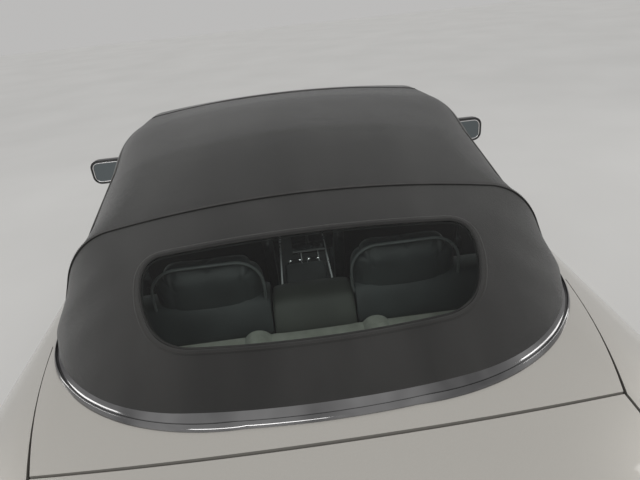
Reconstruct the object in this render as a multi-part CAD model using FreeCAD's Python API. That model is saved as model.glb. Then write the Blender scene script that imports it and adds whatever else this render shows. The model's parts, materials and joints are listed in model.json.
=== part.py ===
"""Soft-top convertible car with four seats, raised fabric roof and opening lids.

Millimetres. X points to the nose, Y to the left side, Z up. The origin is on the
ground under the middle of the car.
"""
import FreeCAD, Part
import math
import os

V = FreeCAD.Vector

# Driving sizes
WIDTH = 1918.0
MIRROR_SPAN = 2194.0
ROOF_TOP = 1398.0
FRONT_AXLE = 1500.0
REAR_AXLE = -1245.0
TRACK_FRONT = 1623.0
TRACK_REAR = 1607.0
TYRE_RADIUS = 351.5
TYRE_WIDTH = 275.0
RIM_RADIUS = 241.3
FLOOR = 150.0

# Walls, gaps and clearances
SKIN = 22.0
LID_SKIN = 16.0
PANEL_GAP = 3.0
LID_GAP = 5.0
BOOT_GAP = 7.0
PIN_CLEARANCE = 0.3
GLASS = 6.0
FABRIC = 12.0
TRIM_HEIGHT = 8.0
PILLAR_WIDTH = 45.0
PILLAR_DEPTH = 38.0

# Doors and lids
DOOR_FRONT = 780.0
DOOR_REAR = -560.0
DOOR_BOTTOM = 322.0
DOOR_HINGE = (858.0, 906.0)
DOOR_HINGE_HEIGHTS = (455.0, 640.0)
DOOR_BEVEL = 28.0
CABIN_HALF = 745.0
REAR_CABIN_HALF = 672.0
CABIN_FRONT = 820.0
CABIN_REAR = -1120.0
CABIN_FLOOR = 235.0
CABIN_STEP = -900.0
BONNET_REAR = 905.0
BONNET_FRONT = 2185.0
BONNET_HINGE = (925.0, 926.0)
BONNET_HINGE_Y = 560.0
BOOT_FRONT = -1630.5
BOOT_SIDE_FRONT = -1586.0
BOOT_HALF = 594.0
BOOT_TAIL_HALF = 568.0
BOOT_FRONT_GAP = 8.5
BOOT_LIP = 715.0
BOOT_HINGE = (-1800.0, 950.0)
BOOT_HINGE_Y = 547.0
BUMPER_FRONT = 1905.0
BUMPER_REAR = -1905.0
ARCH_FRONT = 400.0
ARCH_REAR = 394.0
FRONT_ARCH_WALL = 480.0
REAR_ARCH_WALL = 600.0

# Outlines round the roof's rear: half width, rail y, rail depth, depth, rounding, start x
RING_OUTER = (728, 599, 353, 574, 259, -999)
RING_INNER = (712, 572, 353, 540, 187, -981)
WELL = (640, 544, 370, 560, 134, -901)
RING_FRONT = -945.0
ROOF_PIVOT = (-1069.0, 952.0)

# Body stations: x, sill y, widest y, widest z, shoulder y, shoulder z, top z, rounding
BODY = [
    (2450, 700, 880, 500, 770, 655, 712, 60),
    (2200, 760, 905, 520, 790, 705, 792, 60),
    (1850, 830, 945, 545, 822, 795, 868, 60),
    (1500, 868, 957, 555, 838, 850, 915, 62),
    (1150, 868, 944, 560, 840, 878, 948, 65),
    (700, 862, 932, 560, 842, 892, 972, 75),
    (100, 862, 929, 560, 843, 895, 986, 92),
    (-500, 862, 936, 565, 846, 890, 998, 112),
    (-1000, 868, 953, 570, 847, 874, 1005, 132),
    (-1400, 868, 959, 575, 847, 864, 1007, 138),
    (-1800, 835, 942, 580, 826, 860, 994, 128),
    (-2120, 790, 905, 590, 785, 850, 966, 110),
    (-2450, 730, 862, 600, 740, 840, 925, 90),
]

# Plan outlines: z, foremost x, rearmost x
PLAN = [
    (60, 2335, -2250),
    (250, 2385, -2340),
    (480, 2402, -2396),
    (660, 2368, -2402),
    (850, 2270, -2352),
    (1100, 2120, -2250),
]

# Glasshouse stations: x, belt y, belt lean, rail y, rail z, top z, rounding
GLASSHOUSE = [
    (900, 840, 8, 735, 1200, 1318, 75),
    (520, 828, 9, 712, 1222, 1340, 75),
    (137, 815, 10, 690, 1238, 1352, 76),
    (-350, 808, 11, 664, 1258, ROOF_TOP, 86),
    (-660, 792, 13, 632, 1222, 1366, 96),
]

# Rear roof stations: angle from the rear, belt y, belt lean, rail y, rail u, top u, rounding
REAR_ROOF = [
    (108, 720, 19, 672, 165, 324, 102),
    (50, 730, 17, 634, 151, 262, 155),
    (5, 700, 3.5, 590, 274, 495, 173),
]


def arc(a, b, c):
    return Part.Arc(a, b, c).toShape()


def line(a, b):
    return Part.LineSegment(a, b).toShape()


def box(x, y, z):
    """Box from its low and high limits along each axis."""
    return Part.makeBox(x[1] - x[0], y[1] - y[0], z[1] - z[0], V(x[0], y[0], z[0]))


def rod(start, end, radius):
    a, b = V(*start), V(*end)
    return Part.makeCylinder(radius, (b - a).Length, a, b - a)


def tube(start, end, outer, inner):
    return rod(start, end, outer).cut(rod(start, end, inner))


def side_prism(points, y):
    """Outline in side view, given as x and z, extruded across the car."""
    wire = Part.makePolygon([V(px, y[0], pz) for px, pz in points + points[:1]])
    return Part.Face(wire).extrude(V(0, y[1] - y[0], 0))


def plan_prism(points, z):
    """Outline in plan, given as x and y, extruded upwards."""
    wire = Part.makePolygon([V(px, py, z[0]) for px, py in points + points[:1]])
    return Part.Face(wire).extrude(V(0, 0, z[1] - z[0]))


def mirrored(shape):
    return shape.mirror(V(0, 0, 0), V(0, 1, 0))


def pair(shape):
    return Part.makeCompound([shape, mirrored(shape)])


def joined(shapes):
    shapes = list(shapes)
    return shapes[0].multiFuse(shapes[1:]).removeSplitter()


def arch(belt, rail, top, rounding, lean, inset=0.0):
    """Half an arch in its own plane: side arc, corner arc and top arc, all tangent."""
    chord = math.atan2(belt[0] - rail[0], rail[1] - belt[1])
    lean_end = 2 * chord - lean
    by = belt[0] - inset * math.cos(lean)
    bz = belt[1] - inset * math.sin(lean)
    ry = rail[0] - inset * math.cos(lean_end)
    rz = rail[1] - inset * math.sin(lean_end)
    top = top - inset
    rounding = rounding - 0.4 * inset
    half_chord = math.hypot(by - ry, rz - bz) / 2
    bulge = half_chord * math.tan((lean_end - lean) / 4)
    side_mid = ((by + ry) / 2 + bulge * math.cos(chord), (bz + rz) / 2 + bulge * math.sin(chord))
    corner_y = ry - rounding * math.sin(lean_end)
    corner_z = rz + rounding * math.cos(lean_end)
    tilt = 0.1
    for _ in range(60):
        ty = corner_y - rounding * math.cos(tilt)
        tz = corner_z + rounding * math.sin(tilt)
        tilt = (tilt + 2 * math.atan2(top - tz, ty)) / 2
    turn = math.pi / 2 - lean_end - tilt
    radius = rounding / math.tan(turn / 2)
    middle = lean_end + turn / 2
    round_mid = (
        ry - radius * math.cos(lean_end) + radius * math.cos(middle),
        rz - radius * math.sin(lean_end) + radius * math.sin(middle),
    )
    return [(by, bz), side_mid, (ry, rz), round_mid, (ty, tz), (0.0, top)]


def arch_edges(points, place):
    """Edges of a whole arch from its left belt over the top to its right belt."""
    left = [place(y, u) for y, u in points]
    right = [place(-y, u) for y, u in points]
    return [
        arc(left[0], left[1], left[2]),
        arc(left[2], left[3], left[4]),
        arc(left[4], left[5], right[4]),
        arc(right[4], right[3], right[2]),
        arc(right[2], right[1], right[0]),
    ]


def body_station(row, inset):
    x, sill_y, wide_y, wide_z, rail_y, rail_z, top, rounding = row
    points = arch((wide_y, wide_z), (rail_y, rail_z), top, rounding, 0.0, inset)
    sill = (sill_y - inset, FLOOR)
    wide = points[0]
    radius = ((wide[0] - sill[0]) ** 2 + (wide[1] - sill[1]) ** 2) / (2 * (wide[0] - sill[0]))
    half = math.asin((wide[1] - sill[1]) / radius) / 2
    low_mid = (wide[0] - radius + radius * math.cos(half), wide[1] - radius * math.sin(half))

    def place(y, u):
        return V(x, y, u)

    edges = [line(place(-sill[0], sill[1]), place(sill[0], sill[1]))]
    edges.append(arc(place(*sill), place(*low_mid), place(*wide)))
    edges += arch_edges(points, place)
    edges.append(arc(place(-wide[0], wide[1]), place(-low_mid[0], low_mid[1]), place(-sill[0], sill[1])))
    return Part.Wire(edges)


PLAN_HALF = 990.0
PLAN_NOSE = (600.0, 49.0, 430.0)
PLAN_TAIL = (620.0, 46.0, 420.0)


def plan_end(x, end, inset, sign):
    """Half of a nose or tail outline: its flat arc's end, its corner and its side start."""
    half, sag, corner = end
    side = PLAN_HALF - inset
    start = (x - sign * sag, half)
    stop = (x - sign * (sag + corner), side)
    radius = ((side - half) ** 2 + corner ** 2) / (2 * (side - half))
    angle = math.asin(min(1.0, corner / radius)) / 2
    mid = (stop[0] + sign * radius * math.sin(angle), side - radius + radius * math.cos(angle))
    return start, mid, stop


def plan_station(row, inset):
    z, front, rear = row
    front = front - inset
    rear = rear + inset
    f_start, f_mid, f_stop = plan_end(front, PLAN_NOSE, inset, 1)
    r_start, r_mid, r_stop = plan_end(rear, PLAN_TAIL, inset, -1)

    def place(p, side=1):
        return V(p[0], side * p[1], z)

    return Part.Wire([
        arc(place(f_start, -1), V(front, 0, z), place(f_start)),
        arc(place(f_start), place(f_mid), place(f_stop)),
        line(place(f_stop), place(r_stop)),
        arc(place(r_stop), place(r_mid), place(r_start)),
        arc(place(r_start), V(rear, 0, z), place(r_start, -1)),
        arc(place(r_start, -1), place(r_mid, -1), place(r_stop, -1)),
        line(place(r_stop, -1), place(f_stop, -1)),
        arc(place(f_stop, -1), place(f_mid, -1), place(f_start, -1)),
    ])


def hull(inset):
    """Closed outer form of the body, moved inwards by the inset."""
    across = Part.makeLoft([body_station(row, inset) for row in BODY], True, False)
    around = Part.makeLoft([plan_station(row, inset) for row in PLAN], True, False)
    return across.common(around)


# Glasshouse and roof
def bow_place(angle):
    """Place a point of an arch in a plane that leans about the roof's pivot line."""
    px, pz = ROOF_PIVOT
    a = math.radians(angle)

    def place(y, u):
        return V(px - u * math.cos(a), y, pz + u * math.sin(a))

    return place


def closed_arch(points, place):
    edges = arch_edges(points, place)
    edges.append(line(place(-points[0][0], points[0][1]), place(*points[0])))
    return Part.Wire(edges)


def rear_station(row, inset):
    angle, belt_y, lean, rail_y, rail_u, top, rounding = row
    points = arch((belt_y, 5.0), (rail_y, rail_u), top, rounding, math.radians(lean), inset)
    points[0] = (points[0][0], 5.0)
    return closed_arch(points, bow_place(angle))


def glass_station(row, inset):
    x, belt_y, lean, rail_y, rail_z, top, rounding = row
    points = arch((belt_y, 900.0), (rail_y, rail_z), top, rounding, math.radians(lean), inset)
    points[0] = (points[0][0], 900.0)
    return closed_arch(points, lambda y, u: V(x, y, u))


def glasshouse(inset):
    """Closed volume under the roof from the windscreen to the rear bow."""
    stations = [glass_station(row, inset) for row in GLASSHOUSE]
    stations.append(rear_station(REAR_ROOF[0], inset))
    return Part.makeLoft(stations, True, False)


def rear_volume(inset):
    return Part.makeLoft([rear_station(row, inset) for row in REAR_ROOF], True, False)


SCREEN_LOW = 800.0
SCREEN_HIGH = 1480.0
SCREEN_TOP = (137.0, 1350.0)
SCREEN_RUN = 1.93
SCREEN_BOW = (58.0, 30.0)
SCREEN_HALF = 1000.0


def ahead_of_screen(depth):
    """Everything in front of the windscreen's surface, moved back by a depth."""
    shift = depth * math.hypot(1.0, SCREEN_RUN)
    wires = []
    for z, bow in ((SCREEN_LOW, SCREEN_BOW[0]), (SCREEN_HIGH, SCREEN_BOW[1])):
        x = SCREEN_TOP[0] + (SCREEN_TOP[1] - z) * SCREEN_RUN - shift
        drop = bow * (SCREEN_HALF / 700.0) ** 2
        left, right = V(x - drop, SCREEN_HALF, z), V(x - drop, -SCREEN_HALF, z)
        far_left, far_right = V(2200, SCREEN_HALF, z), V(2200, -SCREEN_HALF, z)
        wires.append(Part.Wire([
            arc(left, V(x, 0, z), right),
            line(right, far_right),
            line(far_right, far_left),
            line(far_left, left),
        ]))
    return Part.makeLoft(wires, True, True)


def base_outline(row, front, z):
    """Horseshoe outline round the roof's rear, closed straight across at the front."""
    half, rail_y, rail_depth, depth, rounding, start = row
    points = arch((half, 0.0), (rail_y, rail_depth), depth, rounding, 0.0)
    edges = arch_edges(points, lambda y, u: V(start - u, y, z))
    left, right = V(front, half, z), V(front, -half, z)
    edges.append(line(V(start, -half, z), right))
    edges.append(line(right, left))
    edges.append(line(left, V(start, half, z)))
    return Part.Wire(Part.sortEdges(edges)[0])


def base_prism(row, front, low, high):
    return Part.Face(base_outline(row, front, low)).extrude(V(0, 0, high - low))


def rounded_box(x, y, z, radius, axis):
    """Box with the four edges along one axis rounded."""
    solid = box(x, y, z)
    direction = {"x": V(1, 0, 0), "y": V(0, 1, 0), "z": V(0, 0, 1)}[axis]
    edges = [e for e in solid.Edges if abs(e.tangentAt(e.FirstParameter).dot(direction)) > 0.99]
    return solid.makeFillet(radius, edges)


def body_edge(gap):
    """Side view of a door's cut line, grown by a gap."""
    return [
        (DOOR_FRONT + gap + 2 * (gap > 0), DOOR_BOTTOM - gap),
        (DOOR_FRONT + gap + 2 * (gap > 0), 1200),
        (DOOR_REAR - gap, 1200),
        (DOOR_REAR - gap, DOOR_BOTTOM + 150),
        (DOOR_REAR + 60 - gap, DOOR_BOTTOM - gap),
    ]


def door_space(gap):
    """Door volume on the left side, its rear face slanted inwards."""
    prism = side_prism(body_edge(gap), (CABIN_HALF, 1100))
    slant = V(DOOR_BEVEL, -(WIDTH / 2 - CABIN_HALF), 0)
    wedge = plan_prism([
        (DOOR_REAR - gap, WIDTH / 2),
        (DOOR_REAR - gap + slant.x, CABIN_HALF),
        (DOOR_REAR - gap - 300, CABIN_HALF),
        (DOOR_REAR - gap - 300, WIDTH / 2),
    ], (0, 1300))
    return prism.cut(wedge)


def bonnet_space(gap):
    """Plan of the bonnet as a prism, grown by a gap."""
    rear, front = BONNET_REAR - gap, BONNET_FRONT + gap
    corner = [(rear, 655 + gap), (1300, 650 + gap), (1750, 625 + gap), (2060, 560 + gap), (front - 40, 420 + gap)]
    points = corner + [(front, 200)] + [(x, -y) for x, y in reversed(corner + [(front, 200)])]
    return plan_prism(points, (560, 1200))


def boot_space(gap):
    """Plan of the boot lid as a prism, grown by a gap, with its bowed front edge."""
    side = BOOT_SIDE_FRONT + gap
    mid = BOOT_FRONT + gap * BOOT_FRONT_GAP / BOOT_GAP
    half, tail = BOOT_HALF + gap, BOOT_TAIL_HALF + gap
    z = BOOT_LIP - gap
    edges = [
        arc(V(side, half, z), V(mid, 0, z), V(side, -half, z)),
        line(V(side, -half, z), V(-2500, -tail, z)),
        line(V(-2500, -tail, z), V(-2500, tail, z)),
        line(V(-2500, tail, z), V(side, half, z)),
    ]
    return Part.Face(Part.Wire(edges)).extrude(V(0, 0, 1200 - z))


def tonneau_space(gap, overlap=0.0):
    """Plan of the panel between the trim ring and the boot lid, closed at its wing seams."""
    side = BOOT_SIDE_FRONT + BOOT_GAP - overlap
    mid = BOOT_FRONT + BOOT_FRONT_GAP - overlap
    half = BOOT_HALF + 4 - gap
    z = 860.0
    tip = (-1130.0, 722.0 - gap)
    sweep = (-1350.0, 674.0 - gap)
    edges = [
        arc(V(side, half, z), V(mid, 0, z), V(side, -half, z)),
        arc(V(side, -half, z), V(sweep[0], -sweep[1], z), V(tip[0], -tip[1], z)),
        line(V(tip[0], -tip[1], z), V(tip[0], tip[1], z)),
        arc(V(tip[0], tip[1], z), V(sweep[0], sweep[1], z), V(side, half, z)),
    ]
    return Part.Face(Part.Wire(edges)).extrude(V(0, 0, 200))


def wheel_arches():
    cuts = []
    for x, radius, wall in (
        (FRONT_AXLE, ARCH_FRONT, FRONT_ARCH_WALL),
        (REAR_AXLE, ARCH_REAR, REAR_ARCH_WALL),
    ):
        left = rod((x, wall, TYRE_RADIUS), (x, 1100, TYRE_RADIUS), radius)
        cuts += [left, mirrored(left)]
    return cuts


# Openings of the side windows, shared by the roof and the glass
WINDOW_TOP = [(150, 1262), (-300, 1284), (-560, 1250), (-760, 1145)]
WINDOW_TAIL = (-846, 1010)
GLASS_SPLIT = -550.0
SIDE_GAP = 6.0


def window_prism(front, rear, inset):
    """Side window outline between two places along the car, shrunk by an inset."""
    a, b, c, d = WINDOW_TOP
    drop = inset
    edges = [
        line(V(1000, 0, 860), V(1000, 0, a[1] - drop)),
        line(V(1000, 0, a[1] - drop), V(a[0], 0, a[1] - drop)),
        arc(V(a[0], 0, a[1] - drop), V(b[0], 0, b[1] - drop), V(c[0], 0, c[1] - drop)),
        line(V(c[0], 0, c[1] - drop), V(d[0] + drop, 0, d[1] - drop)),
        line(V(d[0] + drop, 0, d[1] - drop), V(WINDOW_TAIL[0] + drop, 0, WINDOW_TAIL[1])),
        line(V(WINDOW_TAIL[0] + drop, 0, WINDOW_TAIL[1]), V(WINDOW_TAIL[0] + drop, 0, 860)),
        line(V(WINDOW_TAIL[0] + drop, 0, 860), V(1000, 0, 860)),
    ]
    face = Part.Face(Part.Wire(edges))
    solid = face.extrude(V(0, 1000, 0))
    return solid.common(box((rear, front), (300, 1000), (860, 1400)))


# Rear window: where it lies, its slope, and its two half outlines from the widest line
REAR_GLASS_MID = (-1245.0, 1149.0)
REAR_GLASS_SLOPE = 23.9
REAR_GLASS_WIDEST = 60.0
REAR_GLASS_HALF = 431.0
# Half outlines: rail y, rail u, end u, rounding
REAR_GLASS_UPPER = (425, 38, 87, 38)
REAR_GLASS_LOWER = (397, 143, 237, 75)


def rear_window_prism():
    """Rounded lozenge, flatter above and deeper below, extruded through the roof."""
    edges = []
    for (rail_y, rail_u, end, rounding), up in ((REAR_GLASS_UPPER, 1), (REAR_GLASS_LOWER, -1)):
        points = arch((REAR_GLASS_HALF, 0.0), (rail_y, rail_u), end, rounding, 0.0)
        edges += arch_edges(points, lambda y, u: V(REAR_GLASS_WIDEST + up * u, y, -200))
    solid = Part.Face(Part.Wire(Part.sortEdges(edges)[0])).extrude(V(0, 0, 400))
    solid.rotate(V(0, 0, 0), V(0, 1, 0), -REAR_GLASS_SLOPE)
    solid.translate(V(REAR_GLASS_MID[0], 0, REAR_GLASS_MID[1]))
    return solid


os.makedirs("parts", exist_ok=True)


def save(name, shape):
    """Write one node."""
    shape.exportStep("parts/" + name + ".step")


# Body panels, cut from the same closed form
OUTER = hull(0.0)
UNDER_LIDS = hull(LID_SKIN)
CORE = hull(SKIN)
PROUD = hull(-TRIM_HEIGHT)
ARCHES = wheel_arches()
CABIN = joined([
    box((DOOR_REAR + 20, CABIN_FRONT), (-CABIN_HALF, CABIN_HALF), (CABIN_FLOOR, 1300)),
    box((CABIN_STEP, DOOR_REAR + 21), (-REAR_CABIN_HALF, REAR_CABIN_HALF), (CABIN_FLOOR, 1300)),
    box((CABIN_REAR, CABIN_STEP + 1), (-REAR_CABIN_HALF, REAR_CABIN_HALF), (400, 1300)),
])
ROOF_WELL = base_prism(WELL, -880.0, 880.0, 1300.0)
ENGINE_BAY = box((BONNET_REAR, 2060), (-455, 455), (330, 1300))
NOSE_BAY = box((2050, 2200), (-420, 420), (330, 1300))
BOOT_BAY = box((-2290, -1562), (-530, 530), (400, 1300))
BOOT_FRONT_BAY = box((-1810, -1572), (-612, 612), (745, 1300))
GRILLE_HOLE = rounded_box((2100, 2600), (-430, 430), (395, 655), 60, "x")
INTAKE_HOLE = rounded_box((2100, 2600), (-560, 560), (225, 340), 45, "x")
FRONT_RECESS = box((1180, 1820), (-FRONT_ARCH_WALL - 1, FRONT_ARCH_WALL + 1), (FLOOR - 20, 300))
REAR_RECESS = box((-1560, -960), (-REAR_ARCH_WALL - 1, REAR_ARCH_WALL + 1), (FLOOR - 20, 360))
TUNNEL = box((-1870, 1190), (-120, 120), (FLOOR - 20, 222))
SILENCER_BAY = box((-2280, -1830), (-600, 600), (FLOOR - 20, 372))
PIPE_SLOT = pair(rounded_box((-2600, -2150), (440, 600), (225, 340), 40, "x"))

door_hole = door_space(LID_GAP)
door_holes = [door_hole, mirrored(door_hole)]
bonnet_hole = bonnet_space(LID_GAP)
boot_hole = boot_space(BOOT_GAP)


# Door hinges: pins between two leaves of the body, gooseneck arms on the doors
PIN_RADIUS = 6.0
BARREL_RADIUS = 9.0
POCKET_HALF = 42.0
POCKET_WALL = 800.0
LEAF = 6.0
LEAF_GAP = 2.0
# Arm outline from the pin, along and across the car
DOOR_ARM = [(-9, 0), (9, 0), (9, -86), (-86, -86), (-86, -62), (-40, -70), (-9, -62)]
pin_x, pin_y = DOOR_HINGE
hinge_pockets, hinge_frames, hinge_barrels = [], [], []
for height in DOOR_HINGE_HEIGHTS:
    low, high = height - POCKET_HALF, height + POCKET_HALF
    hinge_pockets.append(box((DOOR_FRONT - 5, pin_x + 18), (POCKET_WALL, pin_y + 11.5), (low, high)))
    frame = [rod((pin_x, pin_y, low), (pin_x, pin_y, high), PIN_RADIUS)]
    for z in (low, high - LEAF):
        frame.append(box((pin_x - 10, pin_x + 12), (POCKET_WALL - 1, pin_y + BARREL_RADIUS), (z, z + LEAF)))
    hinge_frames.append(joined(frame))
    arm_low, arm_high = low + LEAF + LEAF_GAP, high - LEAF - LEAF_GAP
    barrel = rod((pin_x, pin_y, arm_low), (pin_x, pin_y, arm_high), BARREL_RADIUS)
    arm = plan_prism([(pin_x + x, pin_y + y) for x, y in DOOR_ARM], (arm_low, arm_high))
    bore = rod((pin_x, pin_y, low), (pin_x, pin_y, high), PIN_RADIUS + PIN_CLEARANCE)
    hinge_barrels.append(barrel.fuse(arm).cut(bore))
HINGE_POCKETS = pair(Part.makeCompound(hinge_pockets))

# Floor, bulkheads and inner structure of the body
tub = CORE.cut(CABIN)
scuttle_skin = OUTER.common(box((792, 880), (-690, 690), (850, 1100)))
RIM_LIMITS = box((-2260, 2150), (-700, 700), (700, 1300))
for cut in [ROOF_WELL, ENGINE_BAY, NOSE_BAY, BOOT_BAY, BOOT_FRONT_BAY, FRONT_RECESS, REAR_RECESS,
            TUNNEL, SILENCER_BAY, GRILLE_HOLE, INTAKE_HOLE, PIPE_SLOT, HINGE_POCKETS,
            bonnet_space(-28).common(RIM_LIMITS), boot_space(-30).common(RIM_LIMITS)]:
    tub = tub.cut(cut)
tub = tub.cut(Part.makeCompound(ARCHES)).cut(Part.makeCompound(door_holes))
tub = tub.fuse(scuttle_skin.cut(CABIN))
# Trough under the bonnet's rear edge, where it swings down, with room for its two ears
TROUGH_X = (BONNET_REAR - 27, BONNET_REAR + 29)
TROUGH_HALF = 662.0
TROUGH_BOTTOM = 880.0
EAR_POCKET_HALF = 17.0
tub = tub.cut(box(TROUGH_X, (-TROUGH_HALF, TROUGH_HALF), (TROUGH_BOTTOM, 1300)))
for side in (1, -1):
    mid_y = side * BONNET_HINGE_Y
    ear_y = (mid_y - EAR_POCKET_HALF, mid_y + EAR_POCKET_HALF)
    tub = tub.cut(box((BONNET_REAR - 2, BONNET_REAR + 43), ear_y, (TROUGH_BOTTOM, 1300)))

# Hinges of the bonnet and the boot lid: pins on brackets of the tub
LID_PIN = 5.0
LID_BARREL = 8.0
LID_BORE = LID_PIN + PIN_CLEARANCE
EAR_HALF = 8.0
PLATE_GAP = 2.0
PLATE_WIDE = 5.0


def lid_hinge(hinge, y, foot):
    """Two plates and a pin for one ear of a lid, standing on a foot given in side view."""
    x, z = hinge
    plates = []
    for low in (y - EAR_HALF - PLATE_GAP - PLATE_WIDE, y + EAR_HALF + PLATE_GAP):
        plates.append(side_prism(foot, (low, low + PLATE_WIDE)))
        plates.append(rod((x, low, z), (x, low + PLATE_WIDE, z), LID_BARREL - 1))
    ends = y - EAR_HALF - PLATE_GAP - PLATE_WIDE, y + EAR_HALF + PLATE_GAP + PLATE_WIDE
    return joined(plates + [rod((x, ends[0], z), (x, ends[1], z), LID_PIN)])


bonnet_foot = [(918, 695), (942, 695), (934, BONNET_HINGE[1] + 5), (919, BONNET_HINGE[1] + 5)]
boot_foot = [
    (BOOT_HINGE[0] - 4, BOOT_HINGE[1] + 4), (BOOT_HINGE[0] + 5, BOOT_HINGE[1] - 5),
    (-1930, 695), (-2010, 695),
]
lid_hinges = [
    lid_hinge(BONNET_HINGE, BONNET_HINGE_Y, bonnet_foot),
    lid_hinge(BOOT_HINGE, BOOT_HINGE_Y, boot_foot),
]
lid_hinges += [mirrored(h) for h in lid_hinges]

# Jacking pads under the sills
PAD = (700.0, 760.0)
PAD_BOTTOM = 144.0
jack_pads = [box((x - 45, x + 45), (y - 22, y + 22), (PAD_BOTTOM, FLOOR + 4))
             for x in (PAD[0], -PAD[0]) for y in (PAD[1], -PAD[1])]
tub = joined([tub] + hinge_frames + [mirrored(f) for f in hinge_frames] + lid_hinges + jack_pads)

# Lamps, flush with the body's own surface
HEADLAMP = (2130.0, 640.0, 660.0, 84.0)
TAIL_LAMP = ((-2600.0, -2180.0), (590.0, 742.0), (742.0, 838.0))
LAMP_GAP = 2.0
hx, hy, hz, hr = HEADLAMP
headlamp = OUTER.common(rod((hx, hy, hz), (2500, hy, hz), hr))
headlamp_hole = rod((hx, hy, hz), (2500, hy, hz), hr + LAMP_GAP)
tail_box = rounded_box(*TAIL_LAMP, 40, "x")
tail_lamp = OUTER.common(tail_box)
tx, ty, tz = TAIL_LAMP
tail_hole = rounded_box(
    tx, (ty[0] - LAMP_GAP, ty[1] + LAMP_GAP), (tz[0] - LAMP_GAP, tz[1] + LAMP_GAP), 42, "x")
lamp_holes = Part.makeCompound([
    headlamp_hole, mirrored(headlamp_hole), tail_hole, mirrored(tail_hole)])
tub = tub.cut(lamp_holes)
save("headlamps", pair(headlamp))
save("tail_lamps", pair(tail_lamp))

# Screw holes for the number plates
PLATE_SCREW = 3.0
PLATE_PITCH = 340.0
rear_plate_holes = Part.makeCompound(
    [rod((-2600, y, 790), (-2300, y, 790), PLATE_SCREW) for y in (-PLATE_PITCH / 2, PLATE_PITCH / 2)])
front_plate_holes = Part.makeCompound(
    [rod((2350, y, 368), (2600, y, 368), PLATE_SCREW) for y in (-PLATE_PITCH / 2, PLATE_PITCH / 2)])

# The body shell is made in three sections, welded at the two bulkheads
BULKHEADS = (-1130.0, 862.0)
tub = tub.cut(front_plate_holes)
sections = [(-2600, BULKHEADS[0]), BULKHEADS, (BULKHEADS[1], 2600)]
save("floor_tub", Part.makeCompound([tub.common(box(x, (-1200, 1200), (0, 1400))) for x in sections]))

# Skins of the body
skin = OUTER.cut(CORE).cut(Part.makeCompound(ARCHES)).cut(Part.makeCompound(door_holes))
skin = skin.cut(lamp_holes)
lid_skin = OUTER.cut(UNDER_LIDS)
half_gap = PANEL_GAP / 2
TOP = 1300


def left_part(x, z=(0, TOP)):
    return skin.common(box(x, (0.5, 1200), z))


deck = tonneau_space(-half_gap, 10)
wing = left_part((DOOR_FRONT + LID_GAP + 2, BUMPER_FRONT - half_gap))
wing = wing.cut(bonnet_hole).cut(box((700, 895), (0, 690.0 + PANEL_GAP), (840, 1100)))
wing = wing.cut(HINGE_POCKETS)
wing = wing.cut(box((870, BONNET_REAR + 1), (0, 655), (840, 1100)))
save("front_wing_left", wing)
save("front_wing_right", mirrored(wing))

side = left_part((BUMPER_REAR + half_gap, DOOR_FRONT + LID_GAP - PANEL_GAP + 2))
side = side.fuse(left_part((-2600, BUMPER_REAR + half_gap), (BOOT_LIP + half_gap, TOP))).removeSplitter()
for cut in (CABIN, ROOF_WELL, deck, boot_hole):
    side = side.cut(cut)
save("body_side_left", side)
save("body_side_right", mirrored(side))

front_bumper = skin.common(box((BUMPER_FRONT + half_gap, 2600), (-1200, 1200), (0, TOP)))
for cut in (bonnet_hole, GRILLE_HOLE, INTAKE_HOLE, front_plate_holes):
    front_bumper = front_bumper.cut(cut)
save("front_bumper", front_bumper)

rear_bumper = skin.common(box((-2600, BUMPER_REAR - half_gap), (-1200, 1200), (0, BOOT_LIP - half_gap - 2)))
rear_bumper = rear_bumper.cut(PIPE_SLOT).cut(SILENCER_BAY)
save("rear_bumper", rear_bumper)

# The panel's rear edge is rebated below, where the boot lid's front edge swings down
EDGE_THICKNESS = 12.0
tonneau = skin.common(tonneau_space(half_gap)).cut(ROOF_WELL).cut(CABIN)
rebate = hull(EDGE_THICKNESS).common(boot_space(BOOT_GAP + 6))
save("tonneau_panel", tonneau.cut(rebate))


def with_ears(lid, hinge, y, reach):
    """A lid with a bored ear under it on each side, joined ahead of or behind its pin."""
    x, z = hinge
    for side_y in (y, -y):
        pocket_y = (side_y - EAR_POCKET_HALF, side_y + EAR_POCKET_HALF)
        pocket = box((x - 20, x + 20), pocket_y, (z - 40, z + LID_BARREL + 1))
        low, high = sorted((x, x + reach))
        ear = rod((x, side_y - EAR_HALF, z), (x, side_y + EAR_HALF, z), LID_BARREL)
        web = box((low, high), (side_y - EAR_HALF, side_y + EAR_HALF), (z - 4, z + 14))
        bore = rod((x, side_y - 40, z), (x, side_y + 40, z), LID_BORE)
        lid = lid.cut(pocket).fuse(joined([ear, web])).cut(bore)
    return lid


bonnet = with_ears(lid_skin.common(bonnet_space(0)), BONNET_HINGE, BONNET_HINGE_Y, 34)
save("bonnet", bonnet)
boot_lid = with_ears(lid_skin.common(boot_space(0)), BOOT_HINGE, BOOT_HINGE_Y, -34)
save("boot_lid", boot_lid.cut(rear_plate_holes))

door = OUTER.common(door_space(0))
HANDLE_X, HANDLE_Z = (-485.0, -285.0), (788.0, 812.0)
handle = [rounded_box(HANDLE_X, (897, 913), HANDLE_Z, 7, "x")]
for x in (HANDLE_X[0] + 4, HANDLE_X[1] - 24):
    handle.append(box((x, x + 20), (860, 900), (HANDLE_Z[0] + 3, HANDLE_Z[1] - 3)))
door = joined([door] + hinge_barrels + handle)
save("door_left", door)
save("door_right", mirrored(door))

# Trim ring round the roof's base
ring = base_prism(RING_OUTER, RING_FRONT, 860.0, 1100.0).cut(base_prism(RING_INNER, RING_FRONT + 50, 860.0, 1100.0))
hood_trim = PROUD.cut(OUTER).common(ring)
save("hood_trim", hood_trim)

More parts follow.
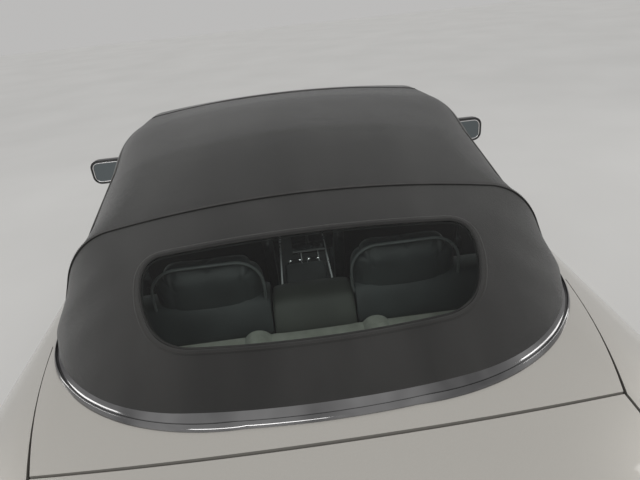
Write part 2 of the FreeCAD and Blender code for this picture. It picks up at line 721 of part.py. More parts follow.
# Soft top, standing on the body inside the trim ring: openings first, then its hollow
glass_zero = glasshouse(0.0)
window = window_prism(1000, -900, 0.0)
roof = glass_zero.fuse(rear_volume(0.0)).cut(ahead_of_screen(PILLAR_DEPTH))
for cut in (window, mirrored(window), rear_window_prism(), OUTER):
    roof = roof.cut(cut)
roof = roof.cut(glasshouse(FABRIC).fuse(rear_volume(FABRIC)))
save("soft_top", roof.cut(hood_trim))
pane = rear_volume(2.0).cut(rear_volume(2.0 + GLASS))
save("rear_glass", pane.common(rear_window_prism()))

# Windscreen and its frame
behind = glass_zero.cut(ahead_of_screen(0.0)).cut(OUTER)
opening = glasshouse(PILLAR_WIDTH)
screen_frame = behind.common(ahead_of_screen(PILLAR_DEPTH)).cut(opening)

# Shell of the left side's glass, between two surfaces inside the roof's own
PANE_SET_BACK = 3.0
pane_outer = glasshouse(PANE_SET_BACK).common(box((-950, 880), (300, 1000), (905, 1330)))
pane_inner = glasshouse(PANE_SET_BACK + GLASS).common(box((-960, 890), (290, 1010), (895, 1340)))
pane_shell = pane_outer.cut(pane_inner)

# Fixed corner panels between the pillars and the door glass
CORNER_PANEL = 774.0
corner = pane_shell.common(box((CORNER_PANEL, 880), (300, 1000), (905, 1010)))
corner = corner.cut(OUTER).cut(ahead_of_screen(PILLAR_DEPTH - 3))
save("windscreen_frame", joined([screen_frame, corner, mirrored(corner)]))
save("windscreen", behind.common(ahead_of_screen(GLASS)).common(opening))

# Side glass
door_glass = pane_shell.common(window_prism(1000, GLASS_SPLIT, SIDE_GAP))
door_glass = door_glass.cut(ahead_of_screen(PILLAR_DEPTH + 4)).cut(OUTER)
door_glass = door_glass.cut(box((CORNER_PANEL - 5, 1100), (300, 1100), (800, 1400)))
save("door_glass_left", door_glass)
save("door_glass_right", mirrored(door_glass))
quarter = pane_shell.common(window_prism(GLASS_SPLIT - SIDE_GAP, -900, 0.0)).cut(OUTER)
save("quarter_glass", pair(quarter))

# Door mirrors: a housing on a short stalk, its open side flat and facing the tail
MIRROR_Y = 1006.0
MIRROR_Z = 972.0
MIRROR_FACE = 472.0
# Housing sections: distance ahead of the face, half width, half height, corner
MIRROR_SECTIONS = [
    (0, MIRROR_SPAN / 2 - MIRROR_Y, 65, 42),
    (45, 88, 62, 42),
    (88, 66, 46, 34),
    (112, 34, 24, 18),
]


def rounded_outline(x, y, z, half_y, half_z, corner):
    """Rounded rectangle in a plane across the car."""
    flat_y, flat_z = half_y - corner, half_z - corner
    diagonal = corner * math.sqrt(0.5)
    edges = []
    corners = [(1, 1), (-1, 1), (-1, -1), (1, -1)]
    for i, (sy, sz) in enumerate(corners):
        start = (sy * half_y, sz * flat_z) if i % 2 == 0 else (sy * flat_y, sz * half_z)
        stop = (sy * flat_y, sz * half_z) if i % 2 == 0 else (sy * half_y, sz * flat_z)
        mid = (sy * (flat_y + diagonal), sz * (flat_z + diagonal))
        ny, nz = corners[(i + 1) % 4]
        following = (ny * flat_y, nz * half_z) if i % 2 == 0 else (ny * half_y, nz * flat_z)
        at = [V(x, y + p[0], z + p[1]) for p in (start, mid, stop, following)]
        edges += [arc(at[0], at[1], at[2]), line(at[2], at[3])]
    return Part.Wire(edges)


housing = Part.makeLoft([
    rounded_outline(MIRROR_FACE + ahead, MIRROR_Y, MIRROR_Z, half_y, half_z, corner)
    for ahead, half_y, half_z, corner in MIRROR_SECTIONS], True, False)
STALK = [(822.0, 575.0, 640.0, 915.0, 946.0), (960.0, 500.0, 560.0, 930.0, 962.0)]
stalk = Part.makeLoft([
    Part.makePolygon([V(x, y, z) for x, z in ((x0, z0), (x1, z0), (x1 - 6, z1), (x0 + 6, z1), (x0, z0))])
    for y, x0, x1, z0, z1 in STALK], True, True)
mirror = housing.fuse(stalk).cut(OUTER).cut(door_glass)
save("mirror_left", mirror)
save("mirror_right", mirrored(mirror))

# Grille and lower intake, each a set of slats on uprights that fill its opening
SLAT = 10.0
GRILLE_X = (2240.0, 2262.0)
frame = GRILLE_HOLE.common(box(GRILLE_X, (-600, 600), (0, 1000)))
frame = frame.cut(rounded_box((2230, 2270), (-408, 408), (417, 633), 42, "x"))
slats = [rounded_box((2256, 2288), (-428, 428), (z, z + SLAT), 4, "y") for z in range(436, 640, 30)]
uprights = [box((2240, 2266), (y - 5, y + 5), (400, 650)) for y in (-270, -135, 0, 135, 270)]
grille = joined([frame] + [s.common(GRILLE_HOLE) for s in slats] + uprights)
low_slats = [rounded_box((2262, 2290), (-554, 554), (z, z + SLAT), 4, "y").common(INTAKE_HOLE) for z in (250, 278, 306)]
low_uprights = [box((2240, 2268), (y - 5, y + 5), (225, 340)) for y in (-400, -200, 0, 200, 400)]
save("grille", Part.makeCompound([grille, joined(low_slats + low_uprights)]))

# Wheels, made at the origin about the Y axis with the outer face towards +Y
HALF = TYRE_WIDTH / 2


def turned(points):
    """Solid of revolution about the Y axis from points given as radius and y."""
    wire = Part.makePolygon([V(r, y, 0) for r, y in points + points[:1]])
    return Part.Face(wire).revolve(V(0, 0, 0), V(0, 1, 0), 360)


def tyre():
    return turned([
        (RIM_RADIUS, -HALF + 16), (RIM_RADIUS + 22, -HALF + 4), (RIM_RADIUS + 62, -HALF), (TYRE_RADIUS - 14, -HALF + 9),
        (TYRE_RADIUS, -HALF + 28), (TYRE_RADIUS, HALF - 28), (TYRE_RADIUS - 14, HALF - 9),
        (RIM_RADIUS + 62, HALF), (RIM_RADIUS + 22, HALF - 4), (RIM_RADIUS, HALF - 16),
    ])


HUB_RADIUS = 34.0
SPOKES = 10
BOLTS = 5
BOLT_CIRCLE = 120.0
DISC_RADIUS = 188.0


def rim():
    """Alloy wheel with its barrel, spokes, hub pad and brake disc in one piece."""
    barrel = turned([
        (RIM_RADIUS, -HALF + 16), (RIM_RADIUS, HALF - 16), (RIM_RADIUS - 6, HALF - 8), (RIM_RADIUS - 16, HALF - 8),
        (RIM_RADIUS - 22, HALF - 30), (RIM_RADIUS - 16, -HALF + 16),
    ])
    pad = turned([(HUB_RADIUS + PIN_CLEARANCE, 42), (82, 42), (82, 78), (58, 92), (HUB_RADIUS + PIN_CLEARANCE, 92)])
    disc = turned([
        (HUB_RADIUS + PIN_CLEARANCE, -8), (DISC_RADIUS, -8), (DISC_RADIUS, 22), (100, 22),
        (92, 42), (HUB_RADIUS + PIN_CLEARANCE, 42),
    ])
    spoke_wire = Part.makePolygon([V(*p) for p in (
        (60, 60, 0), (RIM_RADIUS - 18, 84, 0), (RIM_RADIUS - 18, 112, 0), (60, 88, 0), (60, 60, 0))])
    spoke = Part.Face(spoke_wire).extrude(V(0, 0, 26))
    spoke.translate(V(0, 0, -13))
    spokes = []
    for i in range(SPOKES):
        one = spoke.copy()
        pitch = 360 / SPOKES
        one.rotate(V(0, 0, 0), V(0, 1, 0), i * pitch)
        spokes.append(one)
    wheel = joined([barrel, pad, disc] + spokes)
    bolts = []
    for i in range(BOLTS):
        a = math.radians(90 + i * 360 / BOLTS)
        x, z = BOLT_CIRCLE / 2 * math.cos(a), BOLT_CIRCLE / 2 * math.sin(a)
        bolts.append(rod((x, 40, z), (x, 95, z), 7))
    return wheel.cut(Part.makeCompound(bolts))


one_tyre, one_rim = tyre(), rim()
WHEELS = {
    "front_left": (FRONT_AXLE, TRACK_FRONT / 2, 1),
    "front_right": (FRONT_AXLE, -TRACK_FRONT / 2, -1),
    "rear_left": (REAR_AXLE, TRACK_REAR / 2, 1),
    "rear_right": (REAR_AXLE, -TRACK_REAR / 2, -1),
}
for place, (x, y, out) in WHEELS.items():
    for name, solid in (("tyre_", one_tyre), ("rim_", one_rim)):
        piece = solid if out > 0 else mirrored(solid)
        piece = piece.copy()
        piece.translate(V(x, y, TYRE_RADIUS))
        save(name + place, piece)

# Front knuckles, carried between two ball joints on each side
KINGPIN_INSET = 30.0
KINGPIN_Y = TRACK_FRONT / 2 - KINGPIN_INSET
BALL_LOW, BALL_HIGH = 212.0, 492.0
BALL_RADIUS = 11.0
HUB_END = TRACK_FRONT / 2 + 88
upright = rounded_box((FRONT_AXLE - 48, FRONT_AXLE + 48), (KINGPIN_Y - 26, KINGPIN_Y + 17), (230, 474), 12, "y")
upright = upright.fuse(rod((FRONT_AXLE, KINGPIN_Y, TYRE_RADIUS), (FRONT_AXLE, HUB_END, TYRE_RADIUS), HUB_RADIUS))
steer_arm = box((FRONT_AXLE - 150, FRONT_AXLE), (KINGPIN_Y - 24, KINGPIN_Y - 8), (255, 275))
upright = upright.fuse(steer_arm)
for low, high in ((200, 264), (440, 520)):
    upright = upright.cut(rod((FRONT_AXLE, KINGPIN_Y, low), (FRONT_AXLE, KINGPIN_Y, high), BALL_RADIUS + PIN_CLEARANCE))
save("front_knuckle_left", upright)
save("front_knuckle_right", mirrored(upright))

# Front subframe with its wishbones, each ending in a ball pin
cross = box((FRONT_AXLE - 110, FRONT_AXLE + 110), (-430, 430), (205, 300))
rails = [box((1190, 1810), (y - 40, y + 40), (215, 300)) for y in (-380, 380)]


def wishbone(z, inner_y, spread, pin):
    """Arm of two legs from the frame to a ball pin."""
    legs = plan_prism([
        (FRONT_AXLE - spread, inner_y), (FRONT_AXLE - spread + 34, inner_y), (FRONT_AXLE, KINGPIN_Y - 90),
        (FRONT_AXLE + spread - 34, inner_y), (FRONT_AXLE + spread, inner_y),
        (FRONT_AXLE + 24, KINGPIN_Y), (FRONT_AXLE - 24, KINGPIN_Y),
    ], (z - 9, z + 9))
    ball = rod((FRONT_AXLE, KINGPIN_Y, z), (FRONT_AXLE, KINGPIN_Y, z + pin), BALL_RADIUS)
    return legs.fuse(ball)


lower_arm = wishbone(BALL_LOW, 425, 95, 44)
upper_arm = wishbone(BALL_HIGH, FRONT_ARCH_WALL, 80, -44)
subframe = joined([cross] + rails + [lower_arm, mirrored(lower_arm)])
save("front_subframe", Part.makeCompound([subframe, upper_arm, mirrored(upper_arm)]))

# Rear subframe with differential, half shafts and hub spindles
REAR_HUB_END = TRACK_REAR / 2 + 88
beam = box((REAR_AXLE - 90, REAR_AXLE + 60), (-520, 520), (300, 360))
diff = rounded_box((REAR_AXLE - 150, REAR_AXLE + 150), (-110, 110), (225, 345), 40, "y")
legs = [box((REAR_AXLE - 280, REAR_AXLE + 250), (y - 40, y + 40), (285, 360)) for y in (-520, 520)]
half_shaft = rod((REAR_AXLE, 100, 300), (REAR_AXLE, 690, TYRE_RADIUS), 14)
spindle = rod((REAR_AXLE, 735, TYRE_RADIUS), (REAR_AXLE, REAR_HUB_END, TYRE_RADIUS), HUB_RADIUS)
carrier = rounded_box((REAR_AXLE - 70, REAR_AXLE + 70), (680, 775), (230, 470), 30, "y")
rear_arm = box((REAR_AXLE - 30, REAR_AXLE + 30), (520, 700), (240, 262))
arm_post = box((REAR_AXLE - 30, REAR_AXLE + 30), (500, 540), (240, 300))
side_parts = [half_shaft, spindle, carrier, rear_arm, arm_post]
rear = joined([beam, diff] + legs + side_parts + [mirrored(p) for p in side_parts])
save("rear_subframe", rear)

# Exhaust: pipes in the tunnel, rear silencer and two tail pipes
pipe = tube((1150, 55, 186), (-1862, 55, 186), 30, 27)
silencer = rounded_box((-2240, -1838), (-430, 430), (205, 335), 55, "y")
mid_box = rounded_box((-150, 450), (-105, 105), (156, 216), 22, "x")
tail_pipe = tube((-2200, 500, 282), (-2372, 520, 282), 42, 38)
elbow = rod((-2200, 400, 282), (-2200, 520, 282), 36)
hangers = [box((-2120, -2090), (y - 6, y + 6), (330, 372)) for y in (-250, 250)]
pipes = [pipe, mirrored(pipe), elbow, mirrored(elbow), tail_pipe, mirrored(tail_pipe)]
save("exhaust", joined([silencer, mid_box] + pipes + hangers))

# Engine: sump, block, two cylinder heads, plenum, gearbox, pulleys and feet
sump = rounded_box((1250, 1760), (-150, 150), (336, 480), 40, "x")
block = rounded_box((1200, 1780), (-210, 210), (460, 640), 30, "x")
head = rounded_box((1215, 1775), (62, 262), (600, 772), 45, "x")
plenum = rounded_box((1240, 1700), (-72, 72), (600, 805), 40, "x")
gearbox = rod((935, 0, 470), (1210, 0, 480), 128)
PULLEYS = [(0.0, 505.0, 78.0), (120.0, 600.0, 46.0), (-125.0, 590.0, 52.0), (0.0, 660.0, 38.0)]
pulleys = [rod((1770, y, z), (1806, y, z), radius) for y, z, radius in PULLEYS]
engine_feet = [box((1400, 1460), (y - 30, y + 30), (330, 500)) for y in (-205, 205)]
save("engine", joined([block, sump, head, mirrored(head), plenum, gearbox] + pulleys + engine_feet))

# Dashboard and centre console
dash = side_prism([
    (820, 560), (820, 935), (740, 955), (560, 935), (470, 880), (480, 800), (560, 720), (620, 560),
], (-CABIN_HALF + 12, CABIN_HALF - 12)).common(CORE)
console = side_prism([
    (640, CABIN_FLOOR), (620, 700), (520, 700), (300, 560), (-360, 560), (-395, 420), (-395, CABIN_FLOOR),
], (-125, 125))
COLUMN = (395.0, 382.0, 840.0)
COLUMN_LEAN = math.radians(22)
axis = V(-math.cos(COLUMN_LEAN), 0, math.sin(COLUMN_LEAN))
hub_at = V(*COLUMN)
column = Part.makeCylinder(34, 190, hub_at - axis * 220, axis)
column_pin = Part.makeCylinder(9, 50, hub_at - axis * 40, axis)
save("dashboard", joined([dash, console, column, column_pin]))

# Steering wheel on the column's pin
ring_solid = Part.makeTorus(178, 15, hub_at + axis * 20, axis)
hub = Part.makeCylinder(58, 46, hub_at - axis * 24, axis)
cross_bars = []
for angle in (0, 90, 180):
    bar = Part.makeBox(172, 34, 12, V(0, -17, 6))
    bar.rotate(V(0, 0, 0), V(0, 0, 1), angle - 90)
    bar.Placement = FreeCAD.Placement(hub_at, FreeCAD.Rotation(V(0, 0, 1), axis)).multiply(bar.Placement)
    cross_bars.append(bar)
wheel = joined([ring_solid, hub] + cross_bars).cut(Part.makeCylinder(9 + PIN_CLEARANCE, 60, hub_at - axis * 45, axis))
save("steering_wheel", wheel)

# Seats
SEAT_X = -80.0
SEAT_Y = 382.0


BACK_LEAN = 20.0
BACK_AT = (SEAT_X - 240, 440)
BOLSTER = 58.0


def front_seat(y):
    """Bucket seat: cushion and back, each between two bolsters, head rest and rails."""
    cushion = rounded_box((SEAT_X - 250, SEAT_X + 270), (y - 235, y + 235), (CABIN_FLOOR + 105, 500), 50, "y")
    back_parts = [rounded_box((-65, 55), (y - 230, y + 230), (0, 570), 45, "y")]
    seat_parts = [cushion]
    for side in (-1, 1):
        mid = y + side * (250 - BOLSTER / 2)
        span = (mid - BOLSTER / 2, mid + BOLSTER / 2)
        seat_parts.append(rounded_box((SEAT_X - 215, SEAT_X + 245), span, (CABIN_FLOOR + 115, 524), 24, "x"))
        back_parts.append(rounded_box((-50, 88), span, (70, 500), 24, "z"))
    back_parts.append(rounded_box((-45, 45), (y - 130, y + 130), (560, 745), 36, "y"))
    back = joined(back_parts)
    back.rotate(V(0, 0, 0), V(0, 1, 0), -BACK_LEAN)
    back.translate(V(BACK_AT[0], 0, BACK_AT[1]))
    for side in (-1, 1):
        seat_parts.append(box(
            (SEAT_X - 230, SEAT_X + 230), (y + side * 190 - 18, y + side * 190 + 18), (CABIN_FLOOR, 345)))
    return joined(seat_parts + [back])


save("front_seat_left", front_seat(SEAT_Y))
save("front_seat_right", front_seat(-SEAT_Y))

# Rear bench: back with two integral head rests and a middle pad, cushions and foot
REAR_SEAT_HALF = 655.0
REST_Y, REST_HALF, REST_TOP = 290.0, 160.0, 1118.0
MIDDLE_HALF, MIDDLE_TOP = 118.0, 1018.0
rear_back = side_prism([
    (-905, 400), (-770, 440), (-905, 940), (-960, 992), (-1070, 997), (-1108, 900), (-1108, 860), (-985, 400),
], (-REAR_SEAT_HALF, REAR_SEAT_HALF))
rear_foot = box((-900, -500), (-REAR_SEAT_HALF + 20, REAR_SEAT_HALF - 20), (CABIN_FLOOR, 310))
middle = rounded_box((-1068, -962), (-MIDDLE_HALF, MIDDLE_HALF), (950, MIDDLE_TOP), 20, "x")
bench = [rear_back, rear_foot, middle, box((-900, -470), (-90, 90), (300, 470))]
for side in (-1, 1):
    mid = side * REST_Y
    bench.append(rounded_box((-1074, -978), (mid - REST_HALF, mid + REST_HALF), (930, REST_TOP), 78, "x"))
    mid = side * (REAR_SEAT_HALF + 90) / 2
    half = (REAR_SEAT_HALF - 90) / 2
    bench.append(rounded_box((-900, -420), (mid - half, mid + half), (300, 500), 50, "y"))
save("rear_seat", joined(bench))

# Shelf behind the rear bench, with the rounded covers of two roll-over bars
COVER_Y, COVER_RADIUS = 170.0, 44.0
plate = ROOF_WELL.common(box((-1500, -1110), (-640, 640), (880, 892)))
covers = [rod((-1112, y, 868), (-1215, y, 868), COVER_RADIUS).common(box((-1300, -1000), (-640, 640), (885, 1000)))
          for y in (-COVER_Y, COVER_Y)]
save("rear_shelf", joined([plate] + covers))
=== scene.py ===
"""Looks of a soft-top convertible car: silver paint, charcoal fabric roof, bright trim and dark leather.

Metres. X points to the nose, Y to the left side, Z up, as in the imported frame.
"""
import json
import math
import random

import bmesh
import bpy
import numpy as np
from mathutils import Matrix, Vector
from mathutils.bvhtree import BVHTree

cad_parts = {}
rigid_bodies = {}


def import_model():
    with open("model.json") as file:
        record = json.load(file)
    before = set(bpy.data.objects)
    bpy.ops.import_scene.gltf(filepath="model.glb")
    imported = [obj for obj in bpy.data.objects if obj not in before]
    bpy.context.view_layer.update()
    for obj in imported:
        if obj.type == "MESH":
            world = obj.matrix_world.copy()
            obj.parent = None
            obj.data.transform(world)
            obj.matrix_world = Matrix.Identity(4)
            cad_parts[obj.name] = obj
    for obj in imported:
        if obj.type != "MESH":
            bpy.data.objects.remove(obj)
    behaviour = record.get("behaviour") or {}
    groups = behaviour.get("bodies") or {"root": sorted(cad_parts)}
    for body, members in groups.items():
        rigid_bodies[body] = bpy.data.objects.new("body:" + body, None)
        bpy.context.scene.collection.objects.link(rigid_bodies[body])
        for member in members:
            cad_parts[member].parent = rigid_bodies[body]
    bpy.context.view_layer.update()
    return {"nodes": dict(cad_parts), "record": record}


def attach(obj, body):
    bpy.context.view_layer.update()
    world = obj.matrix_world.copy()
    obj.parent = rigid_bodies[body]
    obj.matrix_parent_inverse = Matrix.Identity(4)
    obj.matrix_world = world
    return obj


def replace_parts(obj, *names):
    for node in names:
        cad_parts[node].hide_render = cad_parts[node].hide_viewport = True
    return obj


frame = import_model()
NODES = frame["nodes"]
random.seed(7)

# The photograph's camera: its place, heading, tilt, roll and focal length in pixels
CAMERA_AT = (-2.31318, 0.02844, 1.76650)
HEADING = math.radians(2.984)
TILT = math.radians(26.250)
ROLL = math.radians(5.812)
FOCAL_PIXELS = 506.99
PHOTO_WIDTH = 640.0
SENSOR = 36.0


def place_camera():
    """Camera at the photograph's viewing angle."""
    ahead = Vector((
        math.cos(TILT) * math.cos(HEADING),
        -math.cos(TILT) * math.sin(HEADING),
        -math.sin(TILT),
    ))
    side = ahead.cross(Vector((0, 0, 1))).normalized()
    up = side.cross(ahead)
    right = math.cos(ROLL) * side - math.sin(ROLL) * up
    top = math.sin(ROLL) * side + math.cos(ROLL) * up
    data = bpy.data.cameras.new("photo_camera")
    data.sensor_width = SENSOR
    data.lens = SENSOR * FOCAL_PIXELS / PHOTO_WIDTH
    data.clip_start = 0.02
    data.clip_end = 200
    camera = placed("photo_camera", data)
    turn = Matrix((right, top, -ahead)).transposed()
    camera.matrix_world = Matrix.Translation(CAMERA_AT) @ turn.to_4x4()
    bpy.context.scene.camera = camera


def feed(node, sockets):
    """Give a node's sockets their values, or link them to other nodes' outputs."""
    for socket, value in sockets.items():
        if isinstance(value, bpy.types.NodeSocket):
            node.id_data.links.new(value, node.inputs[socket])
        else:
            node.inputs[socket].default_value = value


def add_node(tree, kind, sockets=None, **settings):
    """A new node of a tree with its settings and what its sockets get."""
    node = tree.nodes.new(kind)
    for key, value in settings.items():
        setattr(node, key, value)
    feed(node, sockets or {})
    return node


# Materials
class Finish:
    """A node material with short calls for the patterns that the finishes share."""

    def __init__(self, name, colour, roughness, metallic=0.0, extra=None):
        self.material = bpy.data.materials.new(name)
        self.material.use_nodes = True
        self.tree = self.material.node_tree
        self.shader = self.tree.nodes["Principled BSDF"]
        feed(self.shader, {"Base Color": (*colour, 1.0), "Roughness": roughness, "Metallic": metallic})
        feed(self.shader, extra or {})
        self.place = self.add("ShaderNodeTexCoord").outputs["Object"]
        self.normal = None

    def add(self, kind, sockets=None, **settings):
        return add_node(self.tree, kind, sockets, **settings)

    def noise(self, scale, detail=3.0, stretch=(1, 1, 1)):
        place = self.add("ShaderNodeMapping", {"Vector": self.place, "Scale": stretch}).outputs["Vector"]
        sockets = {"Vector": place, "Scale": scale, "Detail": detail}
        return self.add("ShaderNodeTexNoise", sockets).outputs["Fac"]

    def cells(self, scale):
        return self.add("ShaderNodeTexVoronoi", {"Vector": self.place, "Scale": scale}).outputs["Distance"]

    def wave(self, scale, direction):
        sockets = {"Vector": self.place, "Scale": scale}
        return self.add("ShaderNodeTexWave", sockets, bands_direction=direction).outputs["Fac"]

    def sum(self, a, b, kind="ADD"):
        return self.add("ShaderNodeMath", {0: a, 1: b}, operation=kind).outputs[0]

    def ramp(self, source, low, high):
        sockets = {"Value": source, "To Min": low, "To Max": high}
        return self.add("ShaderNodeMapRange", sockets).outputs["Result"]

    def colours(self, source, dark, light, start=0.3, stop=0.7):
        node = self.add("ShaderNodeValToRGB", {"Fac": source})
        for end, position, colour in zip(node.color_ramp.elements, (start, stop), (dark, light)):
            end.position = position
            end.color = (*colour, 1.0)
        feed(self.shader, {"Base Color": node.outputs["Color"]})

    def roughness(self, source, low, high):
        feed(self.shader, {"Roughness": self.ramp(source, low, high)})

    def bump(self, source, depth, strength):
        sockets = {"Height": source, "Distance": depth, "Strength": strength}
        if self.normal is not None:
            sockets["Normal"] = self.normal
        self.normal = self.add("ShaderNodeBump", sockets).outputs["Normal"]
        feed(self.shader, {"Normal": self.normal})


def silver_paint():
    """Metallic lacquer: fine flakes under a clear coat with a faint orange-peel."""
    f = Finish("silver_paint", (0.45, 0.43, 0.395), 0.33, 0.42, {"Coat Weight": 0.9, "Coat Roughness": 0.035})
    f.colours(f.cells(2600), (0.405, 0.388, 0.358), (0.50, 0.482, 0.447), 0.1, 0.75)
    f.roughness(f.noise(900, 2), 0.27, 0.37)
    f.bump(f.noise(260, 2), 0.00012, 0.25)
    return f.material


def roof_cloth():
    """Charcoal acrylic cloth: fine twill, faint streaks and a dusty bloom."""
    sheen = {"Sheen Weight": 0.35, "Sheen Roughness": 0.45}
    f = Finish("roof_cloth", (0.0235, 0.0230, 0.0222), 0.88, 0.0, sheen)
    weave = f.sum(f.wave(520, "X"), f.wave(520, "Y"), "MULTIPLY")
    streaks = f.noise(3.2, 5, (0.35, 1.6, 0.6))
    f.colours(f.sum(streaks, f.ramp(weave, -0.07, 0.07)), (0.0170, 0.0167, 0.0161), (0.033, 0.0323, 0.0311))
    f.roughness(f.noise(6, 4), 0.78, 0.95)
    f.bump(weave, 0.0004, 0.5)
    f.bump(f.noise(9, 3), 0.004, 0.25)
    return f.material


def pane(name, tint, clear, roughness=0.02):
    """Thin glass: see-through by a share, with the surface's own gloss."""
    f = Finish(name, tint, roughness, 0.0, {"Specular IOR Level": 0.5})
    film = f.add("ShaderNodeBsdfTransparent", {"Color": (*clear, 1.0)})
    gloss = f.add("ShaderNodeBsdfGlossy", {"Color": (1, 1, 1, 1), "Roughness": roughness})
    fresnel = f.add("ShaderNodeFresnel", {"IOR": 1.33})
    outside = f.ramp(f.add("ShaderNodeNewGeometry").outputs["Backfacing"], 1.0, 0.0)
    share = f.sum(fresnel.outputs[0], outside, "MULTIPLY")
    mix = f.add("ShaderNodeMixShader", {0: share, 1: film.outputs[0], 2: gloss.outputs[0]})
    feed(f.tree.nodes["Material Output"], {"Surface": mix.outputs[0]})
    return f.material


def noise_finish(name, colour, roughness, metallic=0.0, tones=None, gloss=None, relief=(), extra=None):
    """A finish whose colour, roughness and relief follow a noise, where it has one.

    Tones: scale, detail, dark, light. Gloss: scale, detail, low, high. Relief, once or more: scale,
    detail (None for cells), depth, strength.
    """
    f = Finish(name, colour, roughness, metallic, extra)
    if tones:
        f.colours(f.noise(*tones[:2]), *tones[2:])
    if gloss:
        f.roughness(f.noise(*gloss[:2]), *gloss[2:])
    for scale, detail, depth, strength in relief:
        f.bump(f.noise(scale, detail) if detail else f.cells(scale), depth, strength)
    return f.material


def smooth_coat(name, colour, roughness, metallic=0.0):
    """Small moulded or lacquered part with faint handling marks."""
    low, high = max(roughness - 0.03, 0.02), roughness + 0.05
    return noise_finish(name, colour, roughness, metallic, gloss=(40, 3, low, high))


def black_mesh():
    """Dark grille mesh: small round holes coloured near black as painted shade, between thin webs."""
    f = Finish("mesh_black", (0.010, 0.010, 0.010), 0.5)
    holes = f.cells(130)
    # Holes darker than the webs: painted shade inside the openings.
    f.colours(holes, (0.003, 0.003, 0.003), (0.035, 0.035, 0.036), 0.30, 0.55)
    f.bump(holes, 0.002, 0.8)
    return f.material


def painted_reflection_metal():
    """Polished moulding metal whose colour is darkened and streaked dark and light as painted reflection,
    with faint long waves.
    """
    f = Finish("painted_reflection_metal", (0.30, 0.30, 0.305), 0.07, 1.0)
    # Dark and light streaks in the colour: painted reflection of the dark cloth and of bright lamps.
    f.colours(f.noise(5, 3, (0.5, 1.0, 3.0)), (0.11, 0.11, 0.113), (0.40, 0.40, 0.405))
    f.roughness(f.noise(9, 4), 0.04, 0.12)
    f.bump(f.noise(11, 2), 0.0008, 0.2)
    return f.material


def cast_metal(name, colour, roughness):
    low, high = roughness - 0.1, roughness + 0.12
    return noise_finish(name, colour, roughness, 0.85, None, (45, 5, low, high), [(350, 4, 0.0006, 0.45)])


def leather(name, dark, light, roughness=0.48):
    tones, gloss = (9, 5, dark, light), (30, 4, roughness - 0.08, roughness + 0.1)
    grain = [(620, None, 0.0007, 0.55), (60, 4, 0.0015, 0.2)]
    return noise_finish(name, light, roughness, 0.0, tones, gloss, grain)


